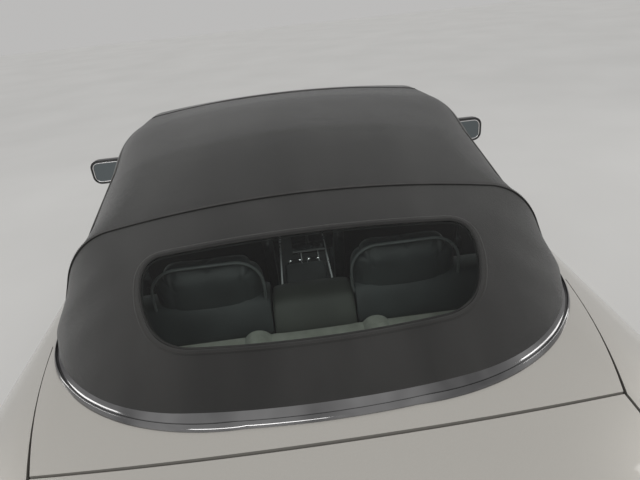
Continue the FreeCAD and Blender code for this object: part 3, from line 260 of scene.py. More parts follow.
FINISHES = {
    "paint": silver_paint(),
    "underbody": noise_finish(
        "underbody_coat", (0.035, 0.035, 0.037), 0.7, relief=[(420, 3, 0.0006, 0.5)],
        tones=(30, 5, (0.022, 0.022, 0.024), (0.05, 0.049, 0.047))),
    "lamp_clear": pane("lamp_clear_lens", (0.9, 0.92, 0.95), (0.93, 0.95, 0.97), 0.03),
    "lamp_red": pane("lamp_red_lens", (0.5, 0.01, 0.01), (0.80, 0.035, 0.03), 0.03),
    "chrome": noise_finish(
        "bright_metal", (0.78, 0.78, 0.79), 0.06, 1.0, None, (7, 4, 0.035, 0.11), [(3.5, 2, 0.0008, 0.12)]),
    "moulding": painted_reflection_metal(),
    "roof_fabric": roof_cloth(),
    "binding": noise_finish(
        "cloth_binding", (0.027, 0.0265, 0.0255), 0.75, relief=[(900, 2, 0.0004, 0.6)],
        tones=(40, 4, (0.020, 0.019, 0.018), (0.040, 0.038, 0.036)), extra={"Sheen Weight": 0.4}),
    "thread": noise_finish("roof_thread", (0.045, 0.043, 0.04), 0.7, relief=[(1500, 1, 0.0002, 0.5)]),
    "glass": pane("tinted_glass", (0.02, 0.03, 0.03), (0.84, 0.87, 0.86)),
    "dark_trim": noise_finish(
        "dark_plastic", (0.012, 0.012, 0.013), 0.32, 0.0, None, (14, 4, 0.22, 0.42), [(700, 2, 0.0002, 0.3)]),
    "gloss": noise_finish(
        "black_gloss", (0.008, 0.008, 0.009), 0.12, gloss=(11, 4, 0.06, 0.2), extra={"Coat Weight": 0.6}),
    "seal": noise_finish(
        "seal_rubber", (0.012, 0.012, 0.012), 0.6, relief=[(1200, 2, 0.0002, 0.4)],
        tones=(25, 4, (0.008, 0.008, 0.008), (0.02, 0.02, 0.019))),
    "lining": noise_finish(
        "roof_lining", (0.03, 0.03, 0.03), 0.9, relief=[(1100, 2, 0.0004, 0.6)],
        tones=(20, 4, (0.024, 0.024, 0.024), (0.040, 0.039, 0.038))),
    "chassis": cast_metal("chassis_steel", (0.09, 0.09, 0.095), 0.5),
    "exhaust_steel": cast_metal("exhaust_steel", (0.45, 0.44, 0.42), 0.36),
    "engine_alloy": cast_metal("engine_alloy", (0.35, 0.35, 0.36), 0.45),
    "caliper": cast_metal("caliper_metal", (0.12, 0.12, 0.125), 0.4),
    "cabin_dark": noise_finish(
        "cabin_trim", (0.016, 0.016, 0.017), 0.55, relief=[(900, None, 0.0004, 0.4)],
        tones=(12, 5, (0.011, 0.011, 0.012), (0.024, 0.024, 0.025))),
    "leather": leather("dark_leather", (0.026, 0.029, 0.030), (0.046, 0.051, 0.052), 0.38),
    "piping": leather("light_piping", (0.085, 0.092, 0.092), (0.15, 0.16, 0.16), 0.34),
    "shelf_leather": leather("grey_green_leather", (0.047, 0.049, 0.043), (0.072, 0.075, 0.066)),
    "shelf_cloth": noise_finish(
        "shelf_cloth", (0.26, 0.27, 0.22), 0.85, relief=[(900, 3, 0.0006, 0.6)],
        tones=(25, 5, (0.23, 0.23, 0.20), (0.34, 0.34, 0.30)), extra={"Sheen Weight": 0.3}),
    "shelf_dark": noise_finish(
        "boot_carpet", (0.02, 0.02, 0.02), 0.95, relief=[(700, 3, 0.0012, 0.8)],
        tones=(80, 4, (0.012, 0.012, 0.012), (0.032, 0.031, 0.030)), extra={"Sheen Weight": 0.3}),
    "tyre": noise_finish(
        "tyre_rubber", (0.02, 0.02, 0.02), 0.75, 0.0, (18, 5, (0.014, 0.014, 0.014), (0.033, 0.032, 0.031)),
        (60, 4, 0.62, 0.86), [(800, 3, 0.0003, 0.5)]),
    "alloy": noise_finish(
        "wheel_alloy", (0.62, 0.62, 0.63), 0.28, 0.9, None, (20, 4, 0.2, 0.36), [(500, 2, 0.0001, 0.3)],
        {"Coat Weight": 0.5, "Coat Roughness": 0.08}),
    "disc": noise_finish("brushed_disc", (0.42, 0.42, 0.43), 0.35, 1.0, gloss=(120, 3, 0.25, 0.45)),
    "mirror": noise_finish("mirror_glass", (0.15, 0.17, 0.18), 0.02, 1.0, gloss=(5, 2, 0.015, 0.04)),
    "mesh_black": black_mesh(),
    "lamp_bowl": smooth_coat("lamp_bowl", (0.85, 0.86, 0.87), 0.22, 0.35),
    "lamp_core": smooth_coat("lamp_core", (0.78, 0.79, 0.80), 0.12, 0.3),
    "lamp_back": smooth_coat("lamp_back", (0.75, 0.12, 0.10), 0.25, 0.2),
    "lamp_guide": smooth_coat("lamp_guide", (0.90, 0.45, 0.40), 0.2),
    "lamp_strip": smooth_coat("lamp_strip", (0.36, 0.012, 0.012), 0.14),
    "plate_white": smooth_coat("plate_white", (0.62, 0.62, 0.60), 0.35),
    "dial_face": smooth_coat("dial_face", (0.012, 0.012, 0.013), 0.3),
    "needle_red": smooth_coat("needle_red", (0.5, 0.03, 0.02), 0.4),
    "screen_dark": smooth_coat("screen_dark", (0.010, 0.012, 0.016), 0.06),
    "knob": smooth_coat("knob", (0.42, 0.50, 0.56), 0.18, 0.8),
    "bottle_white": smooth_coat("bottle_white", (0.55, 0.55, 0.50), 0.4),
}


def dress_nodes():
    """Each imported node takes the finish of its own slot."""
    for part in frame["record"]["subparts"]:
        mesh = NODES[part["node"]].data
        mesh.materials.clear()
        mesh.materials.append(FINISHES[part["material_slot"]])


def placed(name, data):
    """An object of the scene at the origin, from its data."""
    piece = bpy.data.objects.new(name, data)
    bpy.context.scene.collection.objects.link(piece)
    return piece


# Shapes
def add_piece(name, points, faces, finish, crease=40.0):
    """A mesh piece at the origin, smooth except where its faces meet sharply."""
    mesh = bpy.data.meshes.new(name)
    mesh.from_pydata([tuple(map(float, p)) for p in points], [], faces)
    mesh.materials.append(FINISHES[finish])
    piece = placed(name, mesh)
    close_up(piece)
    soften(piece, crease)
    return piece


def close_up(piece):
    """Merge doubled points and turn the faces outwards."""
    work = bmesh.new()
    work.from_mesh(piece.data)
    bmesh.ops.remove_doubles(work, verts=work.verts, dist=0.00002)
    bmesh.ops.recalc_face_normals(work, faces=work.faces)
    work.to_mesh(piece.data)
    work.free()


def soften(piece, crease=40.0):
    piece.data.shade_smooth()
    piece.data.set_sharp_from_angle(angle=math.radians(crease))


def settle(piece):
    """Keep what the modifiers make and drop the modifiers."""
    graph = bpy.context.evaluated_depsgraph_get()
    mesh = bpy.data.meshes.new_from_object(piece.evaluated_get(graph))
    piece.modifiers.clear()
    piece.data = mesh


def grid_faces(rows, columns, closed_rows=False, closed_columns=False):
    faces = []
    for i in range(rows if closed_rows else rows - 1):
        for j in range(columns if closed_columns else columns - 1):
            a, b = i * columns + j, i * columns + (j + 1) % columns
            c, d = ((i + 1) % rows) * columns + (j + 1) % columns, ((i + 1) % rows) * columns + j
            faces.append((a, b, c, d))
    return faces


def unit(vectors):
    vectors = np.asarray(vectors, float)
    return vectors / np.maximum(np.linalg.norm(vectors, axis=-1, keepdims=True), 1e-12)


def tube_faces(rings, sides):
    """Faces along closed sections, with a cap at each end."""
    first = tuple(range(sides))
    last = tuple((rings - 1) * sides + k for k in first)
    return grid_faces(rings, sides, False, True) + [first, last]


def sweep(name, path, normals, section, finish, closed=False):
    """A closed section, given as across and out, carried along a path that lies on a surface."""
    path = np.asarray(path, float)
    ahead = unit(np.roll(path, -1, 0) - np.roll(path, 1, 0) if closed else np.gradient(path, axis=0))
    normals = np.broadcast_to(np.asarray(normals, float), path.shape)
    out = unit(normals - (normals * ahead).sum(1)[:, None] * ahead)
    across = np.cross(ahead, out)
    section = np.asarray(section, float)
    rings = path[:, None] + across[:, None] * section[None, :, :1] + out[:, None] * section[None, :, 1:2]
    count, sides = len(path), len(section)
    faces = grid_faces(count, sides, True, True) if closed else tube_faces(count, sides)
    return add_piece(name, rings.reshape(-1, 3), faces, finish)


def round_section(radius, sides=10, flat=1.0, lift=0.0):
    angles = [2 * math.pi * k / sides for k in range(sides)]
    return [(radius * math.cos(a), lift + flat * radius * math.sin(a)) for a in angles]


def band_section(low, high, thickness, lift=0.0):
    """Flat band with rounded edges, from one side to the other."""
    edge = thickness / 2
    points = [(low, lift)]
    for k in range(5):
        a = math.pi - k * math.pi / 8
        points.append((low + edge + edge * math.cos(a), lift + edge + edge * math.sin(a)))
    for k in range(5):
        a = math.pi / 2 - k * math.pi / 8
        points.append((high - edge + edge * math.cos(a), lift + edge + edge * math.sin(a)))
    points.append((high, lift))
    return points


def turned(name, profile, finish, place=None, segments=48, closed=False, crease=40.0):
    """A form turned about the Y axis, from radius and y, then moved into place."""
    points = []
    for k in range(segments):
        a = 2 * math.pi * k / segments
        points += [(r * math.cos(a), y, r * math.sin(a)) for r, y in profile]
    piece = add_piece(name, points, grid_faces(segments, len(profile), True, closed), finish, crease)
    if place is not None:
        piece.data.transform(place)
    return piece


def place_of(at):
    """The matrix of a place that is given as a point or as a matrix."""
    return at if isinstance(at, Matrix) else Matrix.Translation(at)


def block(name, size, corner, finish, at=(0, 0, 0), segments=5):
    """Box with rounded edges, its corners within the size, moved into place."""
    work = bmesh.new()
    bmesh.ops.create_cube(work, size=1.0)
    bmesh.ops.scale(work, vec=size, verts=work.verts)
    bmesh.ops.bevel(work, geom=work.edges[:], offset=corner, segments=segments, profile=0.5, affect="EDGES")
    mesh = bpy.data.meshes.new(name)
    work.to_mesh(mesh)
    work.free()
    mesh.materials.append(FINISHES[finish])
    mesh.transform(place_of(at))
    piece = placed(name, mesh)
    close_up(piece)
    soften(piece, 60.0)
    return piece


def joined(name, pieces):
    """Several pieces of one body as one mesh, each keeping its own finish."""
    work = bmesh.new()
    finishes = []
    for piece in pieces:
        start = len(work.faces)
        work.from_mesh(piece.data)
        work.faces.ensure_lookup_table()
        own = list(piece.data.materials)
        for face in work.faces[start:]:
            material = own[min(face.material_index, len(own) - 1)]
            if material not in finishes:
                finishes.append(material)
            face.material_index = finishes.index(material)
    mesh = bpy.data.meshes.new(name)
    work.to_mesh(mesh)
    work.free()
    for material in finishes:
        mesh.materials.append(material)
    for piece in pieces:
        bpy.data.objects.remove(piece)
    return placed(name, mesh)


def mirror_mesh(mesh):
    """A left side's mesh turned into the right side's."""
    mesh.transform(Matrix.Scale(-1, 4, (0, 1, 0)))
    mesh.flip_normals()


def mirrored(piece, name):
    """The same piece on the right side of the car."""
    mesh = piece.data.copy()
    mirror_mesh(mesh)
    return placed(name, mesh)


def tree_of(*pieces):
    """Surface of several pieces together, for points to be laid on."""
    points, faces = [], []
    for piece in pieces:
        start = len(points)
        points += [v.co.copy() for v in piece.data.vertices]
        faces += [tuple(start + k for k in p.vertices) for p in piece.data.polygons]
    return BVHTree.FromPolygons(points, faces)


def laid(tree, origin, direction, reach=2.0):
    """Where a ray meets a surface, and the surface's normal there, or None."""
    place, normal, _, _ = tree.ray_cast(Vector(origin), Vector(direction), reach)
    if place is None:
        return None
    if normal.dot(Vector(direction)) > 0:
        normal = -normal
    return np.array(place), np.array(normal)


def even(points, step):
    """Points at an even distance along a path."""
    points = np.asarray(points, float)
    runs = np.concatenate([[0], np.cumsum(np.linalg.norm(np.diff(points, axis=0), axis=1))])
    count = max(2, int(round(runs[-1] / step)) + 1)
    wanted = np.linspace(0, runs[-1], count)
    return np.stack([np.interp(wanted, runs, points[:, k]) for k in range(points.shape[1])], axis=1)


# The roof's form: half width, lean and heights at stations along the car, and round its rear
PIVOT = (-1.069, 0.952)
HOUSE_BELT = 0.900
# x, belt y, belt lean, rail y, rail z, top z, rounding
HOUSE = [
    (0.900, 0.840, 8, 0.735, 1.200, 1.318, 0.075),
    (0.520, 0.828, 9, 0.712, 1.222, 1.340, 0.075),
    (0.137, 0.815, 10, 0.690, 1.238, 1.352, 0.076),
    (-0.350, 0.808, 11, 0.664, 1.258, 1.398, 0.086),
    (-0.660, 0.792, 13, 0.632, 1.222, 1.366, 0.096),
]
# Angle from the rear, belt y, belt lean, rail y, rail u, top u, rounding
REAR = [
    (108, 0.720, 19, 0.672, 0.165, 0.324, 0.102),
    (50, 0.730, 17, 0.634, 0.151, 0.262, 0.155),
    (5, 0.700, 3.5, 0.590, 0.274, 0.495, 0.173),
]
REAR_BELT = 0.005
ARC_STEPS = (16, 14, 16)


def arch(belt, rail, top, rounding, lean):
    """Half an arch in its own plane: side arc, corner arc and top arc, all tangent."""
    chord = math.atan2(belt[0] - rail[0], rail[1] - belt[1])
    lean_end = 2 * chord - lean
    bulge = math.hypot(belt[0] - rail[0], rail[1] - belt[1]) / 2 * math.tan((lean_end - lean) / 4)
    side = (
        (belt[0] + rail[0]) / 2 + bulge * math.cos(chord),
        (belt[1] + rail[1]) / 2 + bulge * math.sin(chord),
    )
    corner_y = rail[0] - rounding * math.sin(lean_end)
    corner_z = rail[1] + rounding * math.cos(lean_end)
    tilt = 0.1
    for _ in range(60):
        end_y = corner_y - rounding * math.cos(tilt)
        end_z = corner_z + rounding * math.sin(tilt)
        tilt = (tilt + 2 * math.atan2(top - end_z, end_y)) / 2
    turn = math.pi / 2 - lean_end - tilt
    radius = rounding / math.tan(turn / 2)
    middle = lean_end + turn / 2
    corner = (
        rail[0] - radius * math.cos(lean_end) + radius * math.cos(middle),
        rail[1] - radius * math.sin(lean_end) + radius * math.sin(middle),
    )
    return [belt, side, rail, corner, (end_y, end_z), (0.0, top)]


def arc_points(a, b, c, count):
    """Points along the arc through three points."""
    (ax, ay), (bx, by), (cx, cy) = a, b, c
    d = 2 * (ax * (by - cy) + bx * (cy - ay) + cx * (ay - by))
    ux = ((ax**2 + ay**2) * (by - cy) + (bx**2 + by**2) * (cy - ay) + (cx**2 + cy**2) * (ay - by)) / d
    uy = ((ax**2 + ay**2) * (cx - bx) + (bx**2 + by**2) * (ax - cx) + (cx**2 + cy**2) * (bx - ax)) / d
    radius = math.hypot(ax - ux, ay - uy)
    first = math.atan2(ay - uy, ax - ux)
    through = (math.atan2(by - uy, bx - ux) - first + math.pi) % (2 * math.pi) - math.pi
    last = (math.atan2(cy - uy, cx - ux) - first - through + math.pi) % (2 * math.pi) - math.pi
    span = through + last
    return [
        (ux + radius * math.cos(first + span * k / count), uy + radius * math.sin(first + span * k / count))
        for k in range(count + 1)
    ]


def whole_arch(points):
    """Points from the left belt over the top to the right belt."""
    a, b, c, d, e, f = points
    half = arc_points(a, b, c, ARC_STEPS[0]) + arc_points(c, d, e, ARC_STEPS[1])[1:]
    crown = arc_points(e, f, (-e[0], e[1]), 2 * ARC_STEPS[2])
    half += crown[1:ARC_STEPS[2] + 1]
    return half + [(-y, z) for y, z in reversed(half[:-1])]


def house_station(row):
    x, belt_y, lean, rail_y, rail_z, top, rounding = row
    points = arch((belt_y, HOUSE_BELT), (rail_y, rail_z), top, rounding, math.radians(lean))
    return [(x, y, z) for y, z in whole_arch(points)]


def rear_station(row):
    angle, belt_y, lean, rail_y, rail_u, top, rounding = row
    points = arch((belt_y, REAR_BELT), (rail_y, rail_u), top, rounding, math.radians(lean))
    a = math.radians(angle)
    return [(PIVOT[0] - u * math.cos(a), y, PIVOT[1] + u * math.sin(a)) for y, u in whole_arch(points)]


def knots_of(rows):
    steps = np.linalg.norm(np.diff(rows, axis=0), axis=2).mean(axis=1)
    return np.concatenate([[0], np.cumsum(steps)]) / steps.sum()


def spline_rows(stations, count):
    """Rows between the stations, on a natural cubic through them."""
    rows = np.array(stations)
    knots = knots_of(rows)
    gaps = np.diff(knots)
    number = len(knots)
    matrix = np.eye(number)
    right = np.zeros(rows.shape)
    for i in range(1, number - 1):
        matrix[i, i - 1:i + 2] = gaps[i - 1], 2 * (gaps[i - 1] + gaps[i]), gaps[i]
        right[i] = 6 * ((rows[i + 1] - rows[i]) / gaps[i] - (rows[i] - rows[i - 1]) / gaps[i - 1])
    bend = np.linalg.solve(matrix, right.reshape(number, -1)).reshape(rows.shape)
    made = []
    for t in np.linspace(0, 1, count):
        i = int(min(number - 2, np.searchsorted(knots, t, side="right") - 1))
        a, b, gap = knots[i + 1] - t, t - knots[i], gaps[i]
        made.append(
            bend[i] * a**3 / (6 * gap) + bend[i + 1] * b**3 / (6 * gap)
            + (rows[i] / gap - bend[i] * gap / 6) * a + (rows[i + 1] / gap - bend[i + 1] * gap / 6) * b)
    return np.array(made)


def parabola_rows(stations, count):
    """Rows on the parabola through three stations."""
    rows = np.array(stations)
    m = knots_of(rows)[1]
    made = []
    for t in np.linspace(0, 1, count):
        first = (t - m) * (t - 1) / m
        second = t * (t - 1) / (m * (m - 1))
        third = t * (t - m) / (1 - m)
        made.append(first * rows[0] + second * rows[1] + third * rows[2])
    return np.array(made)


def grid_normals(grid):
    """Outward normals of a grid whose rows run to the rear and columns to the right."""
    along = np.gradient(grid, axis=0)
    across = np.gradient(grid, axis=1)
    normals = unit(np.cross(along, across))
    if normals[len(grid) // 2, grid.shape[1] // 2, 2] < 0:
        normals = -normals
    return normals


def shell_piece(name, outer, inner, finish):
    """Closed cloth between two grids of the same size."""
    rows, columns = outer.shape[:2]
    total = rows * columns
    faces = grid_faces(rows, columns)
    faces += [tuple(total + k for k in reversed(face)) for face in grid_faces(rows, columns)]
    rim = [j for j in range(columns)]
    rim += [i * columns + columns - 1 for i in range(1, rows)]
    rim += [(rows - 1) * columns + j for j in reversed(range(columns - 1))]
    rim += [i * columns for i in reversed(range(1, rows - 1))]
    for a, b in zip(rim, rim[1:] + rim[:1]):
        faces.append((a, b, b + total, a + total))
    points = np.concatenate([outer.reshape(-1, 3), inner.reshape(-1, 3)])
    return add_piece(name, points, faces, finish, 50.0)


def prism_piece(name, low_ring, high_ring):
    """Closed form between two rings of the same number of points, used only to cut."""
    return add_piece(name, list(low_ring) + list(high_ring), tube_faces(2, len(low_ring)), "seal", 180.0)


def cut_away(pieces, cutters):
    """Take the cutters' volume out of each piece."""
    for piece in pieces:
        for cutter in cutters:
            knife = piece.modifiers.new("cut", "BOOLEAN")
            knife.operation = "DIFFERENCE"
            knife.solver = "EXACT"
            knife.object = cutter
        settle(piece)
        soften(piece, 50.0)


# Openings of the roof, in side view for the side windows
WINDOW_TOP = [(0.150, 1.262), (-0.300, 1.284), (-0.560, 1.250), (-0.760, 1.145)]
WINDOW_TAIL = (-0.846, 1.010)


def window_outline():
    """Side window's edge from the front corner over the top and down its tail."""
    front, crown, rear, knee = WINDOW_TOP
    curve = arc_points(front, crown, rear, 20)
    return [(1.0, front[1])] + curve + [knee, WINDOW_TAIL, (WINDOW_TAIL[0], WINDOW_FOOT)]


SCREEN_TOP = (0.137, 1.350)
SCREEN_RUN = 1.93


WINDOW_FOOT = 0.86
SCREEN_LOW, SCREEN_HIGH = 0.80, 1.48
SCREEN_BOW = {SCREEN_LOW: 0.058, SCREEN_HIGH: 0.030}
SCREEN_HALF = 1.0
PILLAR_DEPTH = 0.038


def screen_ring(z, depth):
    """Level outline of everything ahead of the windscreen's surface, moved back by a depth."""
    x = SCREEN_TOP[0] + (SCREEN_TOP[1] - z) * SCREEN_RUN - depth * math.hypot(1.0, SCREEN_RUN)
    drop = SCREEN_BOW[z] * (SCREEN_HALF / 0.7) ** 2
    curve = arc_points((x - drop, SCREEN_HALF), (x, 0.0), (x - drop, -SCREEN_HALF), 24)
    return [(px, py, z) for px, py in curve] + [(2.2, -SCREEN_HALF, z), (2.2, SCREEN_HALF, z)]


# Rear window: its place, slope, widest line, and two half outlines as rail y, rail u, end u, rounding
GLASS_MID = (-1.245, 1.149)
GLASS_SLOPE = math.radians(23.9)
GLASS_WIDEST = 0.060
GLASS_HALF = 0.431
GLASS_UPPER = (0.425, 0.038, 0.087, 0.038)
GLASS_LOWER = (0.397, 0.143, 0.237, 0.075)


def rear_glass_outline():
    """Closed lozenge in the glass's own plane, as distance up the slope and y."""
    upper = arch((GLASS_HALF, 0.0), GLASS_UPPER[:2], GLASS_UPPER[2], GLASS_UPPER[3], 0.0)
    lower = arch((GLASS_HALF, 0.0), GLASS_LOWER[:2], GLASS_LOWER[2], GLASS_LOWER[3], 0.0)
    ring = [(GLASS_WIDEST + u, y) for y, u in whole_arch(upper)]
    ring += [(GLASS_WIDEST - u, y) for y, u in reversed(whole_arch(lower)[1:-1])]
    return ring


def on_slope(w, y, out):
    """Place of a point given up the slope, across and out of the rear glass's plane."""
    c, s = math.cos(GLASS_SLOPE), math.sin(GLASS_SLOPE)
    return (GLASS_MID[0] + w * c - out * s, y, GLASS_MID[1] + w * s + out * c)


SLOPE_OUT = (-math.sin(GLASS_SLOPE), 0.0, math.cos(GLASS_SLOPE))


# Step of the paths along seams and edges, and where the rays start that find a surface
SEAM_STEP = 0.012
DOWN = (0, 0, -1)
ABOVE_CAR = 1.6
BESIDE_CAR = 1.2
OFF_GLASS, GLASS_REACH = 0.25, 0.6
# Rows of the roof's two surfaces, and how far their cloth sags between what carries it
FRONT_ROWS, REAR_ROWS = 84, 56
FRONT_SAG, REAR_SAG = 0.0030, 0.0020
CLOTH = 0.004
LINING_DEPTH = 0.010
LINING = 0.002
BOWS = [0.10, -0.30, -0.66]


def cloth_relief(grid, normals, sag, front):
    """Slight hollows between the bows and soft pulls towards the corners."""
    rows, columns = grid.shape[:2]
    across = np.abs(np.linspace(-1, 1, columns))[None, :]
    x, y, z = grid[..., 0], grid[..., 1], grid[..., 2]
    if front:
        edges = BOWS + [-1.02]
        hollow = np.zeros((rows, columns))
        for ahead, behind in zip(edges, edges[1:]):
            inside = np.clip((ahead - x) / (ahead - behind), 0, 1)
            hollow += np.sin(np.pi * inside) ** 2
        hollow *= np.clip(1.15 - across, 0, 1) ** 0.5
        ridges = sum(np.exp(-((x - bow) / 0.020) ** 2) for bow in BOWS[1:])
        lift = -sag * hollow + 0.0011 * ridges * np.clip(1.2 - across, 0, 1)
    else:
        down = np.linspace(0, 1, rows)[:, None]
        corner = np.exp(-((np.abs(y) - 0.60) / 0.10) ** 2)
        pulls = np.sin(34 * x + 21 * np.abs(y) + 5 * np.sin(6 * z)) * corner * np.sin(np.pi * down) ** 1.5
        lift = 0.0012 * pulls - sag * np.sin(np.pi * down) * np.exp(-(y / 0.5) ** 2) * 0.3
    return grid + normals * lift[..., None]


def declare_cloth(piece):
    """Read the y of a piece's points; nothing is done with them."""
    across = mesh_points(piece)[:, 1]


def build_roof():
    """Cloth of the soft top, its lining, seams, bindings and the rear window's welt."""
    front = spline_rows([house_station(row) for row in HOUSE] + [rear_station(REAR[0])], FRONT_ROWS)
    rear = parabola_rows([rear_station(row) for row in REAR], REAR_ROWS)
    front_normals, rear_normals = grid_normals(front), grid_normals(rear)
    front_normals[-1] = rear_normals[0] = unit(front_normals[-1] + rear_normals[0])
    bare = {"front": tree_of_grid(front), "rear": tree_of_grid(rear)}

    front_top = cloth_relief(front, front_normals, FRONT_SAG, True)
    rear_top = cloth_relief(rear, rear_normals, REAR_SAG, False)
    cloths = [
        shell_piece("roof_cloth_front", front_top, front - front_normals * CLOTH, "roof_fabric"),
        shell_piece("roof_cloth_rear", rear_top, rear - rear_normals * CLOTH, "roof_fabric"),
    ]
    linings = []
    for name, grid, normals in (
        ("roof_lining_front", front, front_normals),
        ("roof_lining_rear", rear, rear_normals),
    ):
        top = grid - normals * LINING_DEPTH
        linings.append(shell_piece(name, top, top - normals * LINING, "lining"))

    side = window_outline()
    ring = side + [(1.0, WINDOW_FOOT)]
    windows = []
    for name, sign in (("window_left", 1), ("window_right", -1)):
        inner, outer = ([(x, sign * y, z) for x, z in ring] for y in (0.30, 1.10))
        windows.append(prism_piece(name, inner, outer))
    screen = prism_piece("screen", *(screen_ring(z, PILLAR_DEPTH) for z in (SCREEN_LOW, SCREEN_HIGH)))
    lozenge = rear_glass_outline()
    below, above = ([on_slope(w, y, out) for w, y in lozenge] for out in (-0.15, OFF_GLASS))
    window = prism_piece("rear_window", below, above)
    cut_away([cloths[0], linings[0]], windows + [screen])
    cut_away([cloths[1], linings[1]], windows + [window])
    for cutter in windows + [screen, window]:
        bpy.data.objects.remove(cutter)

    seam = even(rear[0], SEAM_STEP)
    normals = seam_normals(bare["rear"], seam)
    cord = seam + normals * 0.0006 + np.array([-0.0062, 0.0, 0.0])
    trims = [
        sweep("bow_seam", seam, normals, band_section(-0.006, 0.006, 0.0020, -0.0008), "binding"),
        sweep("bow_seam_cord", cord, normals, round_section(0.0018, 8), "seal"),
    ]
    trims += side_bindings(side, bare)
    trims += glass_trims(lozenge, bare["rear"])
    starts = [(header_x(y) - CLOTH, y, ABOVE_CAR) for y in np.linspace(-0.60, 0.60, 90)]
    edge, out = lay(bare["front"], starts, DOWN)
    trims.append(sweep("header_binding", edge, out, band_section(-0.007, 0.007, 0.0035, -0.0005), "binding"))
    trims.append(roof_stitches(seam, normals, window_ring(lozenge, bare["rear"], WELT_WIDTH - 0.005)))
    declare_cloth(cloths[0])
    declare_cloth(cloths[1])
    for lining in linings:
        declare_cloth(lining)
    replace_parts(cloths[0], "soft_top")
    for piece in cloths + linings + trims:
        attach(piece, "root")


def tree_of_grid(grid):
    rows, columns = grid.shape[:2]
    return BVHTree.FromPolygons([Vector(p) for p in grid.reshape(-1, 3)], grid_faces(rows, columns))


def seam_normals(tree, points):
    """Outward normals of a surface at points on it."""
    made = []
    for point in points:
        _, normal, _, _ = tree.find_nearest(Vector(point))
        away = Vector(point) - Vector((-0.9, 0.0, 0.8))
        made.append(tuple(-normal if normal.dot(away) < 0 else normal))
    return np.array(made)


def side_bindings(outline, bare):
    """Rubber-edged binding round each side window, on the cloth."""
    path = []
    for x, z in even([p for p in outline if p[0] < 0.99], SEAM_STEP):
        for name in ("front", "rear"):
            hit = laid(bare[name], (x, BESIDE_CAR, z), (0, -1, 0))
            if hit is not None and hit[0][1] > 0.3:
                path.append(hit)
                break
    points, normals = (np.array(column) for column in zip(*path))
    left = sweep("side_binding_left", points, normals, round_section(0.0055, 10, 0.8), "binding")
    return [left, mirrored(left, "side_binding_right")]


WELT_WIDTH = 0.011
BORDER_WIDTH = 0.011


def window_ring(ring, tree, grow):
    """The rear window's outline, grown by a distance and laid on the roof's rear, with its normals."""
    flat = even(np.array(ring + ring[:1]), SEAM_STEP)[:-1]
    ahead = unit(np.roll(flat, -1, 0) - np.roll(flat, 1, 0))
    out = np.stack([ahead[:, 1], -ahead[:, 0]], axis=1)
    grown = flat + out * np.sign((flat * out).sum()) * grow
    starts = [on_slope(w, y, OFF_GLASS) for w, y in grown]
    return lay(tree, starts, tuple(-v for v in SLOPE_OUT), GLASS_REACH)


def two_edge_band(name, inner, outer, section, finish):
    """A band between two rings on a surface; the section gives share across and height."""
    (a, na), (b, nb) = inner, outer
    out = unit(na + nb)
    rings = np.stack([a * (1 - share) + b * share + out * height for share, height in section], axis=1)
    return add_piece(name, rings.reshape(-1, 3), grid_faces(len(a), len(section), True, True), finish)


def glass_trims(ring, tree):
    """Welt round the rear window, the rubber at its edge and the dark border behind the glass."""
    rim, welt_edge, edge, border_edge = (
        window_ring(ring, tree, grow) for grow in (-0.003, WELT_WIDTH, -0.006, -BORDER_WIDTH))
    welt_section = [
        (0.0, -0.004), (0.0, 0.0004), (0.10, 0.0009), (0.30, 0.0012), (0.5, 0.0012),
        (0.75, 0.0009), (0.92, 0.0004), (1.0, -0.0004), (1.0, -0.003), (0.5, -0.003),
    ]
    border_section = [(0.0, -0.0095), (0.0, -0.0085), (1.0, -0.0085), (1.0, -0.0095)]
    section = round_section(0.0032, 10, 0.9)
    return [
        two_edge_band("rear_window_welt", rim, welt_edge, welt_section, "roof_fabric"),
        sweep("rear_window_rubber", edge[0] - edge[1] * 0.002, edge[1], section, "seal", closed=True),
        two_edge_band("rear_window_border", border_edge, edge, border_section, "seal"),
    ]


HEADER_Z = 1.342


def header_x(y):
    """Where the cloth's front edge lies, from the windscreen's surface moved back."""
    share = (HEADER_Z - SCREEN_LOW) / (SCREEN_HIGH - SCREEN_LOW)
    bow = SCREEN_BOW[SCREEN_LOW] * (1 - share) + SCREEN_BOW[SCREEN_HIGH] * share
    x = SCREEN_TOP[0] + (SCREEN_TOP[1] - HEADER_Z) * SCREEN_RUN - PILLAR_DEPTH * math.hypot(1.0, SCREEN_RUN)
    return x - bow * (y / 0.7) ** 2


# Stitches
STITCH = (0.0034, 0.0013, 0.0008)
STITCH_PITCH = 0.0062


